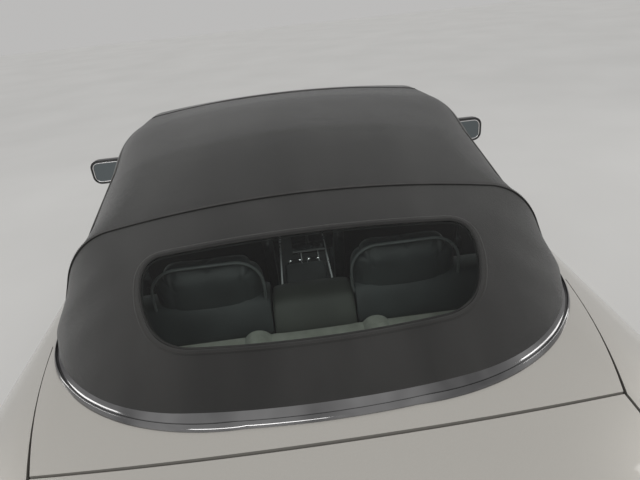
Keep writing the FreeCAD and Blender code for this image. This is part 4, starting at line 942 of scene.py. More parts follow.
def stitch_tree():
    """Stitches set at an even pitch along a curve, each a short flattened bead."""
    tree = bpy.data.node_groups.new("stitches_on_a_line", "GeometryNodeTree")
    for name, way, kind in (
        ("Geometry", "INPUT", "Geometry"),
        ("Pitch", "INPUT", "Float"),
        ("Material", "INPUT", "Material"),
        ("Geometry", "OUTPUT", "Geometry"),
    ):
        tree.interface.new_socket(name, in_out=way, socket_type="NodeSocket" + kind)
    start = tree.nodes.new("NodeGroupInput").outputs
    curve = add_node(tree, "GeometryNodeMeshToCurve", {"Mesh": start["Geometry"]})
    spread = add_node(tree, "GeometryNodeCurveToPoints", {
        "Curve": curve.outputs["Curve"],
        "Length": start["Pitch"],
    }, mode="LENGTH")
    bead = add_node(tree, "GeometryNodeMeshUVSphere", {"Segments": 6, "Rings": 4, "Radius": 1.0})
    place = add_node(tree, "GeometryNodeInstanceOnPoints", {
        "Points": spread.outputs["Points"],
        "Rotation": spread.outputs["Rotation"],
        "Instance": bead.outputs["Mesh"],
        "Scale": (STITCH[1], STITCH[2], STITCH[0] / 2),
    })
    real = add_node(tree, "GeometryNodeRealizeInstances", {"Geometry": place.outputs["Instances"]})
    finish = add_node(tree, "GeometryNodeSetMaterial", {
        "Geometry": real.outputs["Geometry"],
        "Material": start["Material"],
    })
    add_node(tree, "NodeGroupOutput", {"Geometry": finish.outputs["Geometry"]})
    return tree


STITCHES = stitch_tree()


def stitched(name, lines):
    """Stitches along lines of points, made plain."""
    points, edges = [], []
    for line_points in lines:
        start = len(points)
        points += [tuple(p) for p in line_points]
        edges += [(start + k, start + k + 1) for k in range(len(line_points) - 1)]
    mesh = bpy.data.meshes.new(name)
    mesh.from_pydata(points, edges, [])
    piece = placed(name, mesh)
    modifier = piece.modifiers.new("stitches", "NODES")
    modifier.node_group = STITCHES
    values = {"Pitch": STITCH_PITCH, "Material": FINISHES["thread"]}
    for item in STITCHES.interface.items_tree:
        if item.in_out == "INPUT" and item.name in values:
            modifier[item.identifier] = values[item.name]
    settle(piece)
    if piece.data.materials[0] is None:
        piece.data.materials.pop(index=0)
    piece.data.shade_smooth()
    return piece


def roof_stitches(seam, normals, welt):
    """Rows of stitches along the bow seam and round the rear window's welt."""
    across = np.cross(unit(np.gradient(seam, axis=0)), normals)
    rows = [seam + across * shift + normals * 0.0020 for shift in (-0.0045, 0.0045)]
    loop = welt[0] + welt[1] * 0.0019
    rows.append(np.concatenate([loop, loop[:1]]))
    return stitched("roof_stitches", rows)


# Bright moulding round the roof's rear: half width, rail y, rail depth, depth, rounding, start x
RING_OUTER = (0.728, 0.599, 0.353, 0.574, 0.259, -0.999)
RING_INNER = (0.712, 0.572, 0.353, 0.540, 0.187, -0.981)
RING_FRONT = -0.945
# Moulding's section: share across from the cloth outwards, height over the deck
MOULDING = [
    (-0.06, -0.003), (-0.04, 0.0050), (0.02, 0.0068), (0.10, 0.0072), (0.30, 0.0064), (0.50, 0.0052),
    (0.58, 0.0042), (0.62, 0.0036), (0.66, 0.0052), (0.72, 0.0080), (0.79, 0.0098), (0.86, 0.0094),
    (0.93, 0.0068), (0.98, 0.0032), (1.0, 0.0), (1.0, -0.003),
]


def horseshoe(row):
    """Plan of one edge of the moulding, with straight legs to its front ends."""
    half, rail_y, rail_depth, depth, rounding, start = row
    points = whole_arch(arch((half, 0.0), (rail_y, rail_depth), depth, rounding, 0.0))
    curve = [(start - u, y) for y, u in points]
    legs = np.linspace(RING_FRONT, start, 6)[:-1]
    return [(x, half) for x in legs] + curve + [(x, -half) for x in reversed(legs)]


def build_moulding(deck):
    """Chrome moulding that lies on the deck round the cloth's foot."""
    rings = []
    for (ix, iy), (ox, oy) in zip(horseshoe(RING_INNER), horseshoe(RING_OUTER)):
        ring = []
        for share, height in MOULDING:
            x, y = ix + (ox - ix) * share, iy + (oy - iy) * share
            hit = laid(deck, (x, y, ABOVE_CAR), DOWN) or laid(deck, (ox, oy, ABOVE_CAR), DOWN)
            ring.append((x, y, hit[0][2] + height))
        rings.append(ring)
    rings = refine_rows(np.array(rings), 3)
    faces = tube_faces(len(rings), len(MOULDING))
    piece = add_piece("roof_moulding", rings.reshape(-1, 3), faces, "moulding", 50.0)
    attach(piece, "root")
    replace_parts(piece, "hood_trim")


def refine_rows(rows, times):
    """More rows between the given ones, on a smooth curve through them."""
    count = len(rows)
    made = []
    for i in range(count - 1):
        before, a, b, after = rows[max(i - 1, 0)], rows[i], rows[i + 1], rows[min(i + 2, count - 1)]
        for k in range(times):
            t = k / times
            made.append(0.5 * (
                2 * a + (b - before) * t + (2 * before - 5 * a + 4 * b - after) * t**2
                + (3 * a - before - 3 * b + after) * t**3))
    made.append(rows[-1])
    return np.array(made)


# Padded pieces
PAD_VOXEL = 0.0075
PAD_PRESSURE = 4.0
PAD_REACH = 0.011
SWELL_FRAMES = 20


def pad(name, size, corner):
    """A stuffed form about the origin, to be swollen with the others and moved into place."""
    shrunk = tuple(max(s - 0.012, 0.02) for s in size)
    piece = block(name, shrunk, min(corner, min(shrunk) * 0.45), "leather", segments=4)
    remesh = piece.modifiers.new("voxels", "REMESH")
    remesh.mode = "VOXEL"
    remesh.voxel_size = PAD_VOXEL
    settle(piece)
    piece.data.materials.clear()
    piece.data.materials.append(FINISHES["leather"])
    return piece


def swell_pads(pieces):
    """Blow the pads up together a little, so that they crown between their edges."""
    starts = [mesh_points(piece) for piece in pieces]
    settings = {
        "quality": 4, "mass": 0.3, "tension_stiffness": 15, "compression_stiffness": 15,
        "bending_stiffness": 0.8, "use_pressure": True, "uniform_pressure_force": PAD_PRESSURE,
    }
    for piece in pieces:
        cloth = piece.modifiers.new("swell", "CLOTH")
        for key, value in settings.items():
            setattr(cloth.settings, key, value)
        cloth.settings.effector_weights.gravity = 0
        cloth.point_cache.frame_start = 1
        cloth.point_cache.frame_end = SWELL_FRAMES
    scene = bpy.context.scene
    for step in range(1, SWELL_FRAMES + 1):
        scene.frame_set(step)
    graph = bpy.context.evaluated_depsgraph_get()
    ends = [np.array([v.co for v in piece.evaluated_get(graph).data.vertices]) for piece in pieces]
    for piece, start, end in zip(pieces, starts, ends):
        piece.modifiers.clear()
        move = end - start
        length = np.linalg.norm(move, axis=1, keepdims=True)
        set_points(piece, start + move * np.minimum(1.0, PAD_REACH / np.maximum(length, 1e-9)))
    scene.frame_set(1)


def lay(tree, starts, direction, reach=2.0):
    """Points and normals where rays from several starts meet a surface."""
    hits = [laid(tree, start, direction, reach) for start in starts]
    hits = [hit for hit in hits if hit is not None]
    return np.array([point for point, _ in hits]), np.array([normal for _, normal in hits])


def mesh_points(piece):
    flat = np.empty(len(piece.data.vertices) * 3)
    piece.data.vertices.foreach_get("co", flat)
    return flat.reshape(-1, 3)


def set_points(piece, points):
    piece.data.vertices.foreach_set("co", np.asarray(points, float).ravel())
    piece.data.update()


def press(piece, axis, places, width, depth, face):
    """Sewn channels pressed into one face of a pad, at places along an axis."""
    points = mesh_points(piece)
    up, sign = face
    high = (points[:, up] * sign).max()
    on_face = np.clip((points[:, up] * sign - 0.2 * high) / (0.5 * high), 0, 1)
    for place in places:
        groove = np.exp(-((points[:, axis] - place) / width) ** 2)
        points[:, up] -= sign * depth * groove * on_face
    set_points(piece, points)


def creases(piece, seed, amount=0.0009):
    """Soft creases all over a pad."""
    points = mesh_points(piece)
    turn = random.Random(seed)
    waves = [(Vector([turn.uniform(-1, 1) for _ in range(3)]).normalized(), turn.uniform(25, 70),
              turn.uniform(0, 6)) for _ in range(5)]
    lift = sum(np.sin(points @ np.array(direction) * rate + shift) for direction, rate, shift in waves)
    set_points(piece, points + unit(points) * (amount * lift / 5)[:, None])


def finer(piece, levels):
    """Divide a piece's faces smoothly."""
    smoother = piece.modifiers.new("finer", "SUBSURF")
    smoother.levels = smoother.render_levels = levels
    settle(piece)
    piece.data.shade_smooth()


def finish_pad(piece, name, place):
    """A pad moved into place as its own piece."""
    mesh = piece.data.copy()
    mesh.transform(place_of(place))
    made = placed(name, mesh)
    finer(made, 1)
    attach(made, "root")
    return made


def leaning(x, y, z, lean):
    """Place of a seat back's part: its foot at x, y, z and leaning to the rear."""
    return Matrix.Translation((x, y, z)) @ Matrix.Rotation(math.radians(-lean), 4, "Y")


SEAT_X, SEAT_Y = -0.080, 0.382
BACK_LEAN = 20.0
BACK_AT = (SEAT_X - 0.240, 0.440)
CABIN_FLOOR = 0.235
# Rear head rests: y of each
REST_AT = {"left": 0.290, "right": -0.272}
REAR_BACK_LEAN = 15.1
REAR_BACK_FACE = (-0.8375, 0.690)
# Forms to be swollen, each with its size and corner
PADS = {
    "seat_cushion": ((0.50, 0.382, 0.155), 0.045),
    "seat_bolster": ((0.46, 0.062, 0.150), 0.030),
    "seat_back": ((0.112, 0.382, 0.560), 0.045),
    "seat_back_bolster": ((0.132, 0.064, 0.430), 0.030),
    "head_rest": ((0.090, 0.260, 0.190), 0.040),
    "bench_cushion": ((0.480, 0.560, 0.185), 0.050),
    "bench_back": ((0.105, 0.560, 0.500), 0.050),
    "rear_head_rest": ((0.096, 0.320, 0.200), 0.046),
}
# Sewn channels: pad, axis, places along it, width, depth, pressed face as axis and sign
CHANNELS = [
    ("seat_cushion", 0, (-0.16, -0.08, 0.0, 0.08, 0.16), 0.007, 0.006, (2, 1)),
    ("seat_back", 2, (-0.18, -0.09, 0.0, 0.09, 0.18), 0.007, 0.006, (0, 1)),
    ("bench_cushion", 0, (-0.15, -0.05, 0.05, 0.15), 0.007, 0.006, (2, 1)),
    ("bench_back", 2, (-0.15, -0.05, 0.05, 0.15), 0.007, 0.006, (0, 1)),
    ("rear_head_rest", 1, (-0.100, 0.100), 0.006, 0.0035, (0, -1)),
    ("head_rest", 1, (-0.085, 0.085), 0.006, 0.0035, (0, 1)),
]
CREASE_SEED = 11


def build_seats():
    """Front and rear seats as stuffed panels with piping, on trim shells."""
    pads = {name: pad(name + "_form", *row) for name, row in PADS.items()}
    swell_pads(list(pads.values()))
    for name, *channel in CHANNELS:
        press(pads[name], *channel)
    for number, piece in enumerate(pads.values()):
        creases(piece, CREASE_SEED + number)
    for side, sign in (("left", 1), ("right", -1)):
        y = sign * SEAT_Y
        back = leaning(BACK_AT[0], y, BACK_AT[1], BACK_LEAN)
        shell_at = back @ place_of((-0.060, 0, 0.300))
        pieces = [
            block("seat_shell", (0.022, 0.452, 0.540), 0.010, "cabin_dark", shell_at),
            block("seat_base", (0.430, 0.400, 0.060), 0.014, "cabin_dark", (SEAT_X + 0.01, y, 0.318)),
        ]
        for off in (-0.19, 0.19):
            at = (SEAT_X, y + off, CABIN_FLOOR + 0.028)
            pieces.append(block("seat_rail", (0.460, 0.036, 0.060), 0.005, "chassis", at))
        for off in (-0.06, 0.06):
            at = back @ place_of((0.0, off, 0.560))
            pieces.append(block("rest_post", (0.012, 0.012, 0.080), 0.005, "chrome", at))
        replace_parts(keep("seat_frame_" + side, pieces), "front_seat_" + side)
        finish_pad(pads["seat_cushion"], "seat_cushion_" + side, (SEAT_X + 0.01, y, 0.424))
        finish_pad(pads["seat_back"], "seat_back_" + side, back @ place_of((-0.005, 0, 0.285)))
        finish_pad(pads["head_rest"], "head_rest_" + side, back @ place_of((0, 0, 0.652)))
        for mark, off in (("in", -0.221), ("out", 0.221)):
            ends = f"_{side}_{mark}"
            finish_pad(pads["seat_bolster"], "seat_bolster" + ends, (SEAT_X + 0.015, y + off, 0.440))
            at = back @ place_of((0.018, off, 0.285))
            finish_pad(pads["seat_back_bolster"], "seat_back_bolster" + ends, at)
        # Light piping down both bolsters of the back and over its top
        piping = []
        for mirror in (1, -1):
            path = even([(0.084, 0.221, 0.070), (0.084, 0.221, 0.470), (0.054, 0.211, 0.500)], 0.03)
            path = [back @ Vector((px, mirror * py, pz)) for px, py, pz in path]
            piping.append(sweep("piping", path, (0, 0, 1), round_section(0.0035, 8), "piping"))
        keep("seat_piping_" + side, piping)
    build_bench(pads)
    for piece in pads.values():
        bpy.data.objects.remove(piece)


def rounded_loop(half_wide, half_high, corner, step=0.012):
    """Rounded rectangle as across and up."""
    points = []
    for k, (sy, sz) in enumerate(((1, 1), (-1, 1), (-1, -1), (1, -1))):
        for turn in range(9):
            a = math.pi / 2 * (k + turn / 8)
            points.append((
                sy * (half_wide - corner) + corner * math.cos(a),
                sz * (half_high - corner) + corner * math.sin(a)))
    return even(points + points[:1], step)[:-1]


BENCH_Y = 0.372
# Middle of a rear head rest, and where its piping lies behind
REST_X, REST_Z = -1.026, 1.020
REST_PIPING_X = -1.068


def build_bench(pads):
    """Rear bench: cushions, backs, two head rests with piping, and what carries them."""
    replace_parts(keep("bench_frame", [
        block("bench_core", (0.130, 1.290, 0.480), 0.03, "cabin_dark", (-1.010, 0, 0.660)),
        block("bench_foot", (0.400, 1.260, 0.080), 0.02, "cabin_dark", (-0.70, 0, 0.272)),
        block("bench_centre", (0.420, 0.170, 0.160), 0.03, "leather", (-0.685, 0, 0.385)),
    ]), "rear_seat")
    for side, sign in (("left", 1), ("right", -1)):
        y = sign * BENCH_Y
        back = leaning(REAR_BACK_FACE[0] - 0.052, y, REAR_BACK_FACE[1] - 0.02, REAR_BACK_LEAN)
        finish_pad(pads["bench_cushion"], "bench_cushion_" + side, (-0.660, y, 0.402))
        finish_pad(pads["bench_back"], "bench_back_" + side, back)
        y = REST_AT[side]
        rest = finish_pad(pads["rear_head_rest"], "rear_head_rest_" + side, (REST_X, y, REST_Z))
        round_corners(rest, y, REST_Z, 0.160, 0.100, 0.082)
        loop = rounded_loop(0.156, 0.095, 0.076)
        first = next(k for k, (a, b) in enumerate(loop) if b <= -0.06)
        kept = [p for p in np.roll(loop, -first, 0) if p[1] > -0.06]
        path = [(REST_PIPING_X, y + a, REST_Z + b) for a, b in kept]
        line = sweep("rest_piping_" + side, path, (-1, 0, 0), round_section(0.0042, 8), "piping")
        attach(line, "root")
    build_shoulders()
    keep("belt_guides", [
        block("belt_guide", (0.030, 0.060, 0.014), 0.005, "dark_trim", (-1.115, y, 0.905))
        for y in (0.470, -0.470)])


def round_corners(piece, mid_y, mid_z, half_y, half_z, corner):
    """Pull a pad's four corners in to a wide radius, as seen from behind."""
    points = mesh_points(piece)
    y, z = points[:, 1] - mid_y, points[:, 2] - mid_z
    over_y = np.abs(y) - (half_y - corner)
    over_z = z - (half_z - corner)
    both = (over_y > 0) & (over_z > 0)
    run = np.hypot(over_y, over_z)
    square = np.maximum(over_y, over_z)
    share = np.where(both, square / np.maximum(run, 1e-6), 1.0)
    points[:, 1] = np.where(both, mid_y + np.sign(y) * (half_y - corner + over_y * share), points[:, 1])
    points[:, 2] = np.where(both, mid_z + half_z - corner + over_z * share, points[:, 2])
    set_points(piece, points)


# Wheels
FRONT_AXLE, REAR_AXLE = 1.500, -1.245
TRACK = {"front": 1.623, "rear": 1.607}
TYRE_RADIUS, RIM_RADIUS = 0.3515, 0.2413
SPOKES = 10
# Tyre's steps round, every how many of them a cut is, and how deep it is
TYRE_STEPS, CUT_EVERY, CUT_DEPTH = 216, 4, 0.0045


def tyre_profile():
    """Half section of the tyre from bead to bead over the tread, as radius and y."""
    # Side wall: above the rim, y; shoulder: below the tread, y
    wall = [
        (0.0, 0.1215), (0.008, 0.1250), (0.014, 0.1290), (0.022, 0.1335), (0.034, 0.1356), (0.036, 0.1364),
        (0.050, 0.1375), (0.062, 0.1373), (0.064, 0.1362), (0.078, 0.1345),
    ]
    shoulder = [(0.020, 0.1315), (0.012, 0.1270), (0.006, 0.1200), (0.002, 0.1120), (0.0006, 0.1000)]
    outer = [(RIM_RADIUS + r, y) for r, y in wall] + [(TYRE_RADIUS - r, y) for r, y in shoulder]
    for y in (0.070, 0.024):
        for across, down in ((0.0055, 0.0), (0.0042, 0.0075), (-0.0042, 0.0075), (-0.0055, 0.0)):
            outer.append((TYRE_RADIUS - down, y + across))
    inner = [(RIM_RADIUS + 0.012, -0.118), (TYRE_RADIUS - 0.022, -0.118)]
    inner += [(r, -y) for r, y in reversed(inner)]
    return outer + [(r, -y) for r, y in reversed(outer)] + inner


def build_tyre():
    """Tyre about the Y axis with its grooves and cross cuts."""
    profile = tyre_profile()
    points = []
    for k in range(TYRE_STEPS):
        a = 2 * math.pi * k / TYRE_STEPS
        for r, y in profile:
            shoulder = 0.092 < abs(y) < 0.128 and r > TYRE_RADIUS - 0.014
            if shoulder and k % CUT_EVERY == 0:
                r = r - CUT_DEPTH
            points.append((r * math.cos(a), y, r * math.sin(a)))
    faces = grid_faces(TYRE_STEPS, len(profile), True, True)
    return add_piece("tyre_form", points, faces, "tyre", 35.0)


def build_rim():
    """Cast wheel: barrel with lip, ten tapered spokes, hub pad, cap and bolts."""
    # Barrel: below the rim's radius, y
    barrel = [
        (0.0, -0.1215), (0.0, 0.1205), (-0.0015, 0.1275), (0.004, 0.1300), (0.010, 0.1290), (0.014, 0.1240),
        (0.018, 0.1100), (0.026, 0.0900), (0.034, 0.0400), (0.022, -0.0600), (0.014, -0.1215),
    ]
    hub = [(0.0345, 0.044), (0.080, 0.044), (0.080, 0.072), (0.072, 0.082), (0.052, 0.090), (0.0345, 0.092)]
    cap = [
        (0.0, 0.0985), (0.016, 0.0980), (0.027, 0.0960), (0.031, 0.0930), (0.0350, 0.0905), (0.0350, 0.0890),
        (0.0, 0.0890),
    ]
    bolt = [(0.0, 0.006), (0.0075, 0.006), (0.0085, 0.0045), (0.0085, -0.02), (0.0, -0.02)]
    barrel = [(RIM_RADIUS - r, y) for r, y in barrel]
    pieces = [
        turned("rim_barrel", barrel, "alloy", None, 120, True),
        turned("rim_hub", hub, "alloy", None, 60, True),
        turned("rim_cap", cap, "gloss"),
    ]
    # Along the spoke: radius, y of its face, half width, depth
    stations = [
        (0.046, 0.0885, 0.0230, 0.030), (0.080, 0.0900, 0.0175, 0.030), (0.120, 0.0960, 0.0135, 0.028),
        (0.165, 0.1050, 0.0125, 0.026), (0.205, 0.1150, 0.0150, 0.024), (0.229, 0.1215, 0.0210, 0.022),
    ]
    # Spoke's section: share of the half width, share of the depth
    section = [
        (1, -0.35), (0.96, -0.12), (0.72, 0.0), (0, -0.06), (-0.72, 0.0), (-0.96, -0.12), (-1, -0.35),
        (-0.55, -1.0), (0.55, -1.0),
    ]
    for number in range(SPOKES):
        a = 2 * math.pi * number / SPOKES
        radial = Vector((math.cos(a), 0, math.sin(a)))
        around = Vector((-math.sin(a), 0, math.cos(a)))
        points = []
        for radius, face, half, depth in stations:
            for across, down in section:
                level = Vector((0, face + down * depth, 0))
                points.append(radial * radius + around * (half * across) + level)
        pieces.append(add_piece("spoke", points, tube_faces(len(stations), len(section)), "alloy", 45.0))
    for number in range(5):
        a = math.radians(90 + 72 * number)
        place = place_of((0.060 * math.cos(a), 0.082, 0.060 * math.sin(a)))
        pieces.append(turned("bolt", bolt, "disc", place, 6, False, 20.0))
    return joined("rim_form", pieces)


def build_disc():
    profile = [
        (0.0350, -0.008), (0.186, -0.008), (0.188, -0.006), (0.188, 0.004), (0.182, 0.005), (0.182, 0.009),
        (0.188, 0.010), (0.188, 0.020), (0.186, 0.022), (0.100, 0.022), (0.092, 0.042), (0.0350, 0.042),
    ]
    return turned("disc_form", profile, "disc", None, 96, True, 35.0)


def build_caliper():
    """Brake caliper that grips the disc's rear edge, about the wheel's centre."""
    # Section: y, height over the arc
    section = [
        (0.038, -0.030), (0.043, -0.022), (0.043, 0.022), (0.034, 0.038), (0.022, 0.040),
        (0.020, 0.035), (-0.014, 0.035), (-0.020, 0.040), (-0.030, 0.036), (-0.034, 0.020),
        (-0.034, -0.026), (-0.018, -0.032), (-0.016, 0.030), (0.026, 0.030), (0.028, -0.032),
    ]
    stations = 9
    points = []
    for k in range(stations):
        a = math.radians(150 + 60 * k / (stations - 1))
        out = Vector((math.cos(a), 0, math.sin(a)))
        points += [Vector((0, 0.007 + y, 0)) + out * (0.160 + r) for y, r in section]
    return add_piece("caliper_form", points, tube_faces(stations, len(section)), "caliper", 40.0)


def build_wheels():
    forms = {"tread": build_tyre(), "wheel": build_rim(), "disc": build_disc(), "caliper": build_caliper()}
    for end, x in (("front", FRONT_AXLE), ("rear", REAR_AXLE)):
        for side, sign in (("left", 1), ("right", -1)):
            place = f"{end}_{side}"
            made = {}
            for name, form in forms.items():
                mesh = form.data.copy()
                if side == "right":
                    mirror_mesh(mesh)
                mesh.transform(place_of((x, sign * TRACK[end] / 2, TYRE_RADIUS)))
                made[name] = placed(f"{name}_{place}", mesh)
                if name != "caliper":
                    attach(made[name], "wheel_" + place)
            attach(made["caliper"], "knuckle_" + side if end == "front" else "root")
            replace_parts(made["tread"], "tyre_" + place)
            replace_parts(made["wheel"], "rim_" + place)
    for form in forms.values():
        bpy.data.objects.remove(form)


# Mirrors
MIRROR_AT = (0.472, 1.006, 0.972)
MIRROR_HALF = (0.091, 0.065)


def build_mirrors():
    """Black rim, bright inner rim and glass on each mirror housing's open face."""
    x, y, z = MIRROR_AT
    wide, high = MIRROR_HALF
    parts = []
    # Each rim: inset, corner, radius of its section, set forward, finish
    for inset, corner, radius, ahead, finish in (
        (0.004, 0.038, 0.0060, -0.0015, "gloss"),
        (0.0125, 0.031, 0.0032, -0.0035, "chrome"),
    ):
        loop = rounded_loop(wide - inset, high - inset, corner, 0.008)
        path = [(x + ahead, y + a, z + b) for a, b in loop]
        parts.append(sweep("mirror_rim", path, (-1, 0, 0), round_section(radius, 12), finish, closed=True))
    loop = rounded_loop(wide - 0.014, high - 0.014, 0.030, 0.008)
    points = [(x + ahead, y + a, z + b) for ahead in (-0.0030, 0.0010) for a, b in loop]
    parts.append(add_piece("mirror_glass", points, tube_faces(2, len(loop)), "mirror", 30.0))
    both_sides("mirror_face", parts, "door_left", "door_right")


# Plates, rings and strips laid on the body
SIDES = {"front": (-1, 0, 0), "rear": (1, 0, 0), "left": (0, -1, 0), "right": (0, 1, 0), "top": (0, 0, -1)}


def over(side, a, b):
    """Start of a ray towards one side of the body, from its two free coordinates."""
    if side in ("front", "rear"):
        return (3.2 if side == "front" else -3.2, a, b)
    if side in ("left", "right"):
        return (a, 1.6 if side == "left" else -1.6, b)
    return (a, b, 2.0)


RAY_REACH = 3.5


def laid_plate(name, tree, side, centre, size, thickness, finish, lift=0.0, corner=0.008, steps=(24, 8)):
    """Rounded plate that follows the body, from its two free coordinates and its size."""
    inward = np.array(SIDES[side], float)
    rows, columns = steps
    outer, inner = [], []
    for i in range(rows + 1):
        for j in range(columns + 1):
            a, b = (2 * i / rows - 1) * size[0] / 2, (2 * j / columns - 1) * size[1] / 2
            reach_a, reach_b = size[0] / 2 - abs(a), size[1] / 2 - abs(b)
            if reach_a < corner and reach_b < corner:
                pull = corner - math.sqrt(max(corner**2 - (corner - reach_a)**2, 0))
                b = math.copysign(max(size[1] / 2 - max(pull, reach_b), 0), b)
            hit = laid(tree, over(side, centre[0] + a, centre[1] + b), tuple(inward), RAY_REACH)
            if hit is None:
                hit = laid(tree, over(side, *centre), tuple(inward), RAY_REACH)
            outer.append(hit[0] - inward * (lift + thickness))
            inner.append(hit[0] - inward * lift)
    shape = (rows + 1, columns + 1, 3)
    return shell_piece(name, np.array(outer).reshape(shape), np.array(inner).reshape(shape), finish)


def laid_ring(name, tree, side, centre, loop, section, finish):
    """Closed strip on the body along a loop given about a centre."""
    starts = [over(side, centre[0] + a, centre[1] + b) for a, b in loop]
    points, normals = lay(tree, starts, SIDES[side], RAY_REACH)
    return sweep(name, points, normals, section, finish, closed=True)


def circle(radius, count=48):
    return [(radius * math.cos(2 * math.pi * k / count), radius * math.sin(2 * math.pi * k / count))
            for k in range(count)]


def facing(x, y, z, towards):
    """Place at a point with its Y axis turned towards a direction."""
    return Matrix.Translation((x, y, z)) @ Vector(towards).to_track_quat("Y", "Z").to_matrix().to_4x4()


def keep(name, pieces, body="root"):
    whole = joined(name, pieces)
    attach(whole, body)
    return whole


def both_sides(name, pieces, left_body="root", right_body="root"):
    """The same fittings on the left side and, mirrored, on the right."""
    left = joined(name + "_left", pieces)
    right = mirrored(left, name + "_right")
    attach(left, left_body)
    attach(right, right_body)


def node_tree(*names):
    return tree_of(*[NODES[name] for name in names])


LAMP_Y, LAMP_Z, LAMP_RADIUS = 0.640, 0.660, 0.084
TAIL_X, TAIL_Y, TAIL_Z = -2.190, 0.666, 0.790


def build_lamps():
    """Reflectors, lenses and bezels of the head lamps and tail lamps."""
    nose = node_tree("front_bumper", "front_wing_left", "headlamps")
    bowl_at, lens_at = (facing(x, LAMP_Y, LAMP_Z, (1, 0.10, 0)) for x in (2.142, 2.150))
    bowl = [
        (0.0, 0.002), (0.020, 0.003), (0.050, 0.012), (0.070, 0.030), (0.080, 0.060), (0.082, 0.060),
        (0.072, 0.028), (0.052, 0.008), (0.020, 0.000), (0.0, 0.0),
    ]
    lens = [
        (0.0, 0.060), (0.012, 0.058), (0.022, 0.052), (0.029, 0.040), (0.031, 0.026), (0.031, 0.0),
        (0.0, 0.0),
    ]
    collar = [(0.032, 0.0), (0.032, 0.034), (0.037, 0.038), (0.041, 0.034), (0.043, 0.0)]
    both_sides("headlamp_inner", [
        turned("lamp_bowl", bowl, "lamp_bowl", bowl_at),
        turned("lamp_lens", lens, "lamp_core", lens_at),
        turned("lamp_collar", collar, "gloss", lens_at, closed=True),
        laid_ring("lamp_bezel", nose, "front", (LAMP_Y, LAMP_Z), circle(LAMP_RADIUS + 0.0035),
                  round_section(0.0032, 10), "chrome"),
    ])
    tail = node_tree("rear_bumper", "body_side_left", "tail_lamps")
    guide = [(TAIL_X - 0.013, TAIL_Y + a, TAIL_Z + b) for a, b in rounded_loop(0.054, 0.030, 0.024, 0.006)]
    dot = [(0.0, 0.010), (0.007, 0.008), (0.010, 0.002), (0.010, 0.0), (0.0, 0.0)]
    parts = [
        block("tail_back", (0.012, 0.140, 0.084), 0.005, "lamp_back", (TAIL_X, TAIL_Y, TAIL_Z)),
        sweep("tail_guide", guide, (-1, 0, 0), round_section(0.0055, 10), "lamp_guide", closed=True),
    ]
    for off in (-0.030, 0.0, 0.030):
        at = facing(TAIL_X - 0.007, TAIL_Y + off, TAIL_Z, (-1, 0, 0))
        parts.append(turned("tail_dot", dot, "lamp_core", at, 24))
    loop = rounded_loop(0.0795, 0.0515, 0.043, 0.008)
    section = round_section(0.0030, 10)
    parts.append(laid_ring("tail_bezel", tail, "rear", (TAIL_Y, TAIL_Z), loop, section, "chrome"))
    both_sides("tail_lamp_inner", parts)
    strip = laid_plate("high_brake_lamp", node_tree("boot_lid"), "top", (-2.252, 0.0), (0.016, 0.240), 0.003,
                       "lamp_strip", -0.0005, 0.006, (6, 30))
    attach(strip, "boot_lid")


def build_front():
    """Grille surround, mesh behind the slats, lower intake and blank front plate."""
    nose = node_tree("front_bumper")
    keep("grille_fittings", [
        laid_ring("grille_surround", nose, "front", (0.0, 0.525), rounded_loop(0.4385, 0.1385, 0.066, 0.010),
                  round_section(0.0075, 12, 0.8), "chrome"),
        laid_ring("intake_surround", nose, "front", (0.0, 0.2825), rounded_loop(0.568, 0.0655, 0.050, 0.010),
                  round_section(0.0050, 10, 0.8), "gloss"),
        block("grille_backing", (0.006, 0.840, 0.250), 0.003, "mesh_black", (2.224, 0, 0.525)),
        block("intake_backing", (0.006, 1.100, 0.110), 0.003, "mesh_black", (2.226, 0, 0.2825)),
    ])
    at = (0.0, 0.368)
    keep("front_number_plate", [
        laid_plate("front_plate_plinth", nose, "front", at, (0.534, 0.050), 0.0030, "dark_trim", 0.0, 0.006),
        laid_plate("front_plate", nose, "front", at, (0.520, 0.040), 0.0015, "plate_white", 0.0035, 0.005),
    ] + plate_screws(nose, "front", 0.368, 0.0055))


def plate_screws(tree, side, z, lift):
    profile = [(0.0, 0.0015), (0.0035, 0.0012), (0.0045, 0.0), (0.0045, -0.006), (0.0, -0.006)]
    out = -np.array(SIDES[side], float)
    points, _ = lay(tree, [over(side, y, z + 0.012) for y in (-0.170, 0.170)], SIDES[side], RAY_REACH)
    places = [facing(*(point + out * lift), tuple(out)) for point in points]
    return [turned("plate_screw", profile, "disc", place, 20) for place in places]


def build_rear():
    """Blank rear plate, boot handle, reflectors and tail pipe tips."""
    lid = node_tree("boot_lid")
    at, handle_at = (0.0, 0.790), (0.0, 0.866)
    keep("rear_number_plate", [
        laid_plate("rear_plate_plinth", lid, "rear", at, (0.536, 0.124), 0.0035, "dark_trim", 0.0, 0.010),
        laid_plate("rear_plate", lid, "rear", at, (0.520, 0.110), 0.0015, "plate_white", 0.0040, 0.008),
        laid_plate("boot_handle", lid, "rear", handle_at, (0.420, 0.016), 0.0075, "chrome", 0.0, 0.006,
                   (30, 6)),
    ] + plate_screws(lid, "rear", 0.790, 0.0060), "boot_lid")
    pipe = [
        (0.0435, -0.060), (0.0435, -0.004), (0.0455, 0.001), (0.0500, 0.0025),
        (0.0530, -0.002), (0.0535, -0.010), (0.0515, -0.060),
    ]
    both_sides("rear_fittings", [
        laid_plate("rear_reflector", node_tree("rear_bumper"), "rear", (0.650, 0.455), (0.110, 0.026), 0.004,
                   "lamp_strip", -0.001, 0.008),
        turned("tail_tip", pipe, "chrome", facing(-2.378, 0.5205, 0.282, (-1, 0.1163, 0)), 56, True),
    ])


# Waist strips: place along the car and its distance from the middle
WAIST = [(0.900, 0.846), (0.520, 0.834), (0.137, 0.821), (-0.350, 0.814), (-0.660, 0.799), (-0.945, 0.734)]
DOOR_EDGES = (0.772, -0.553)


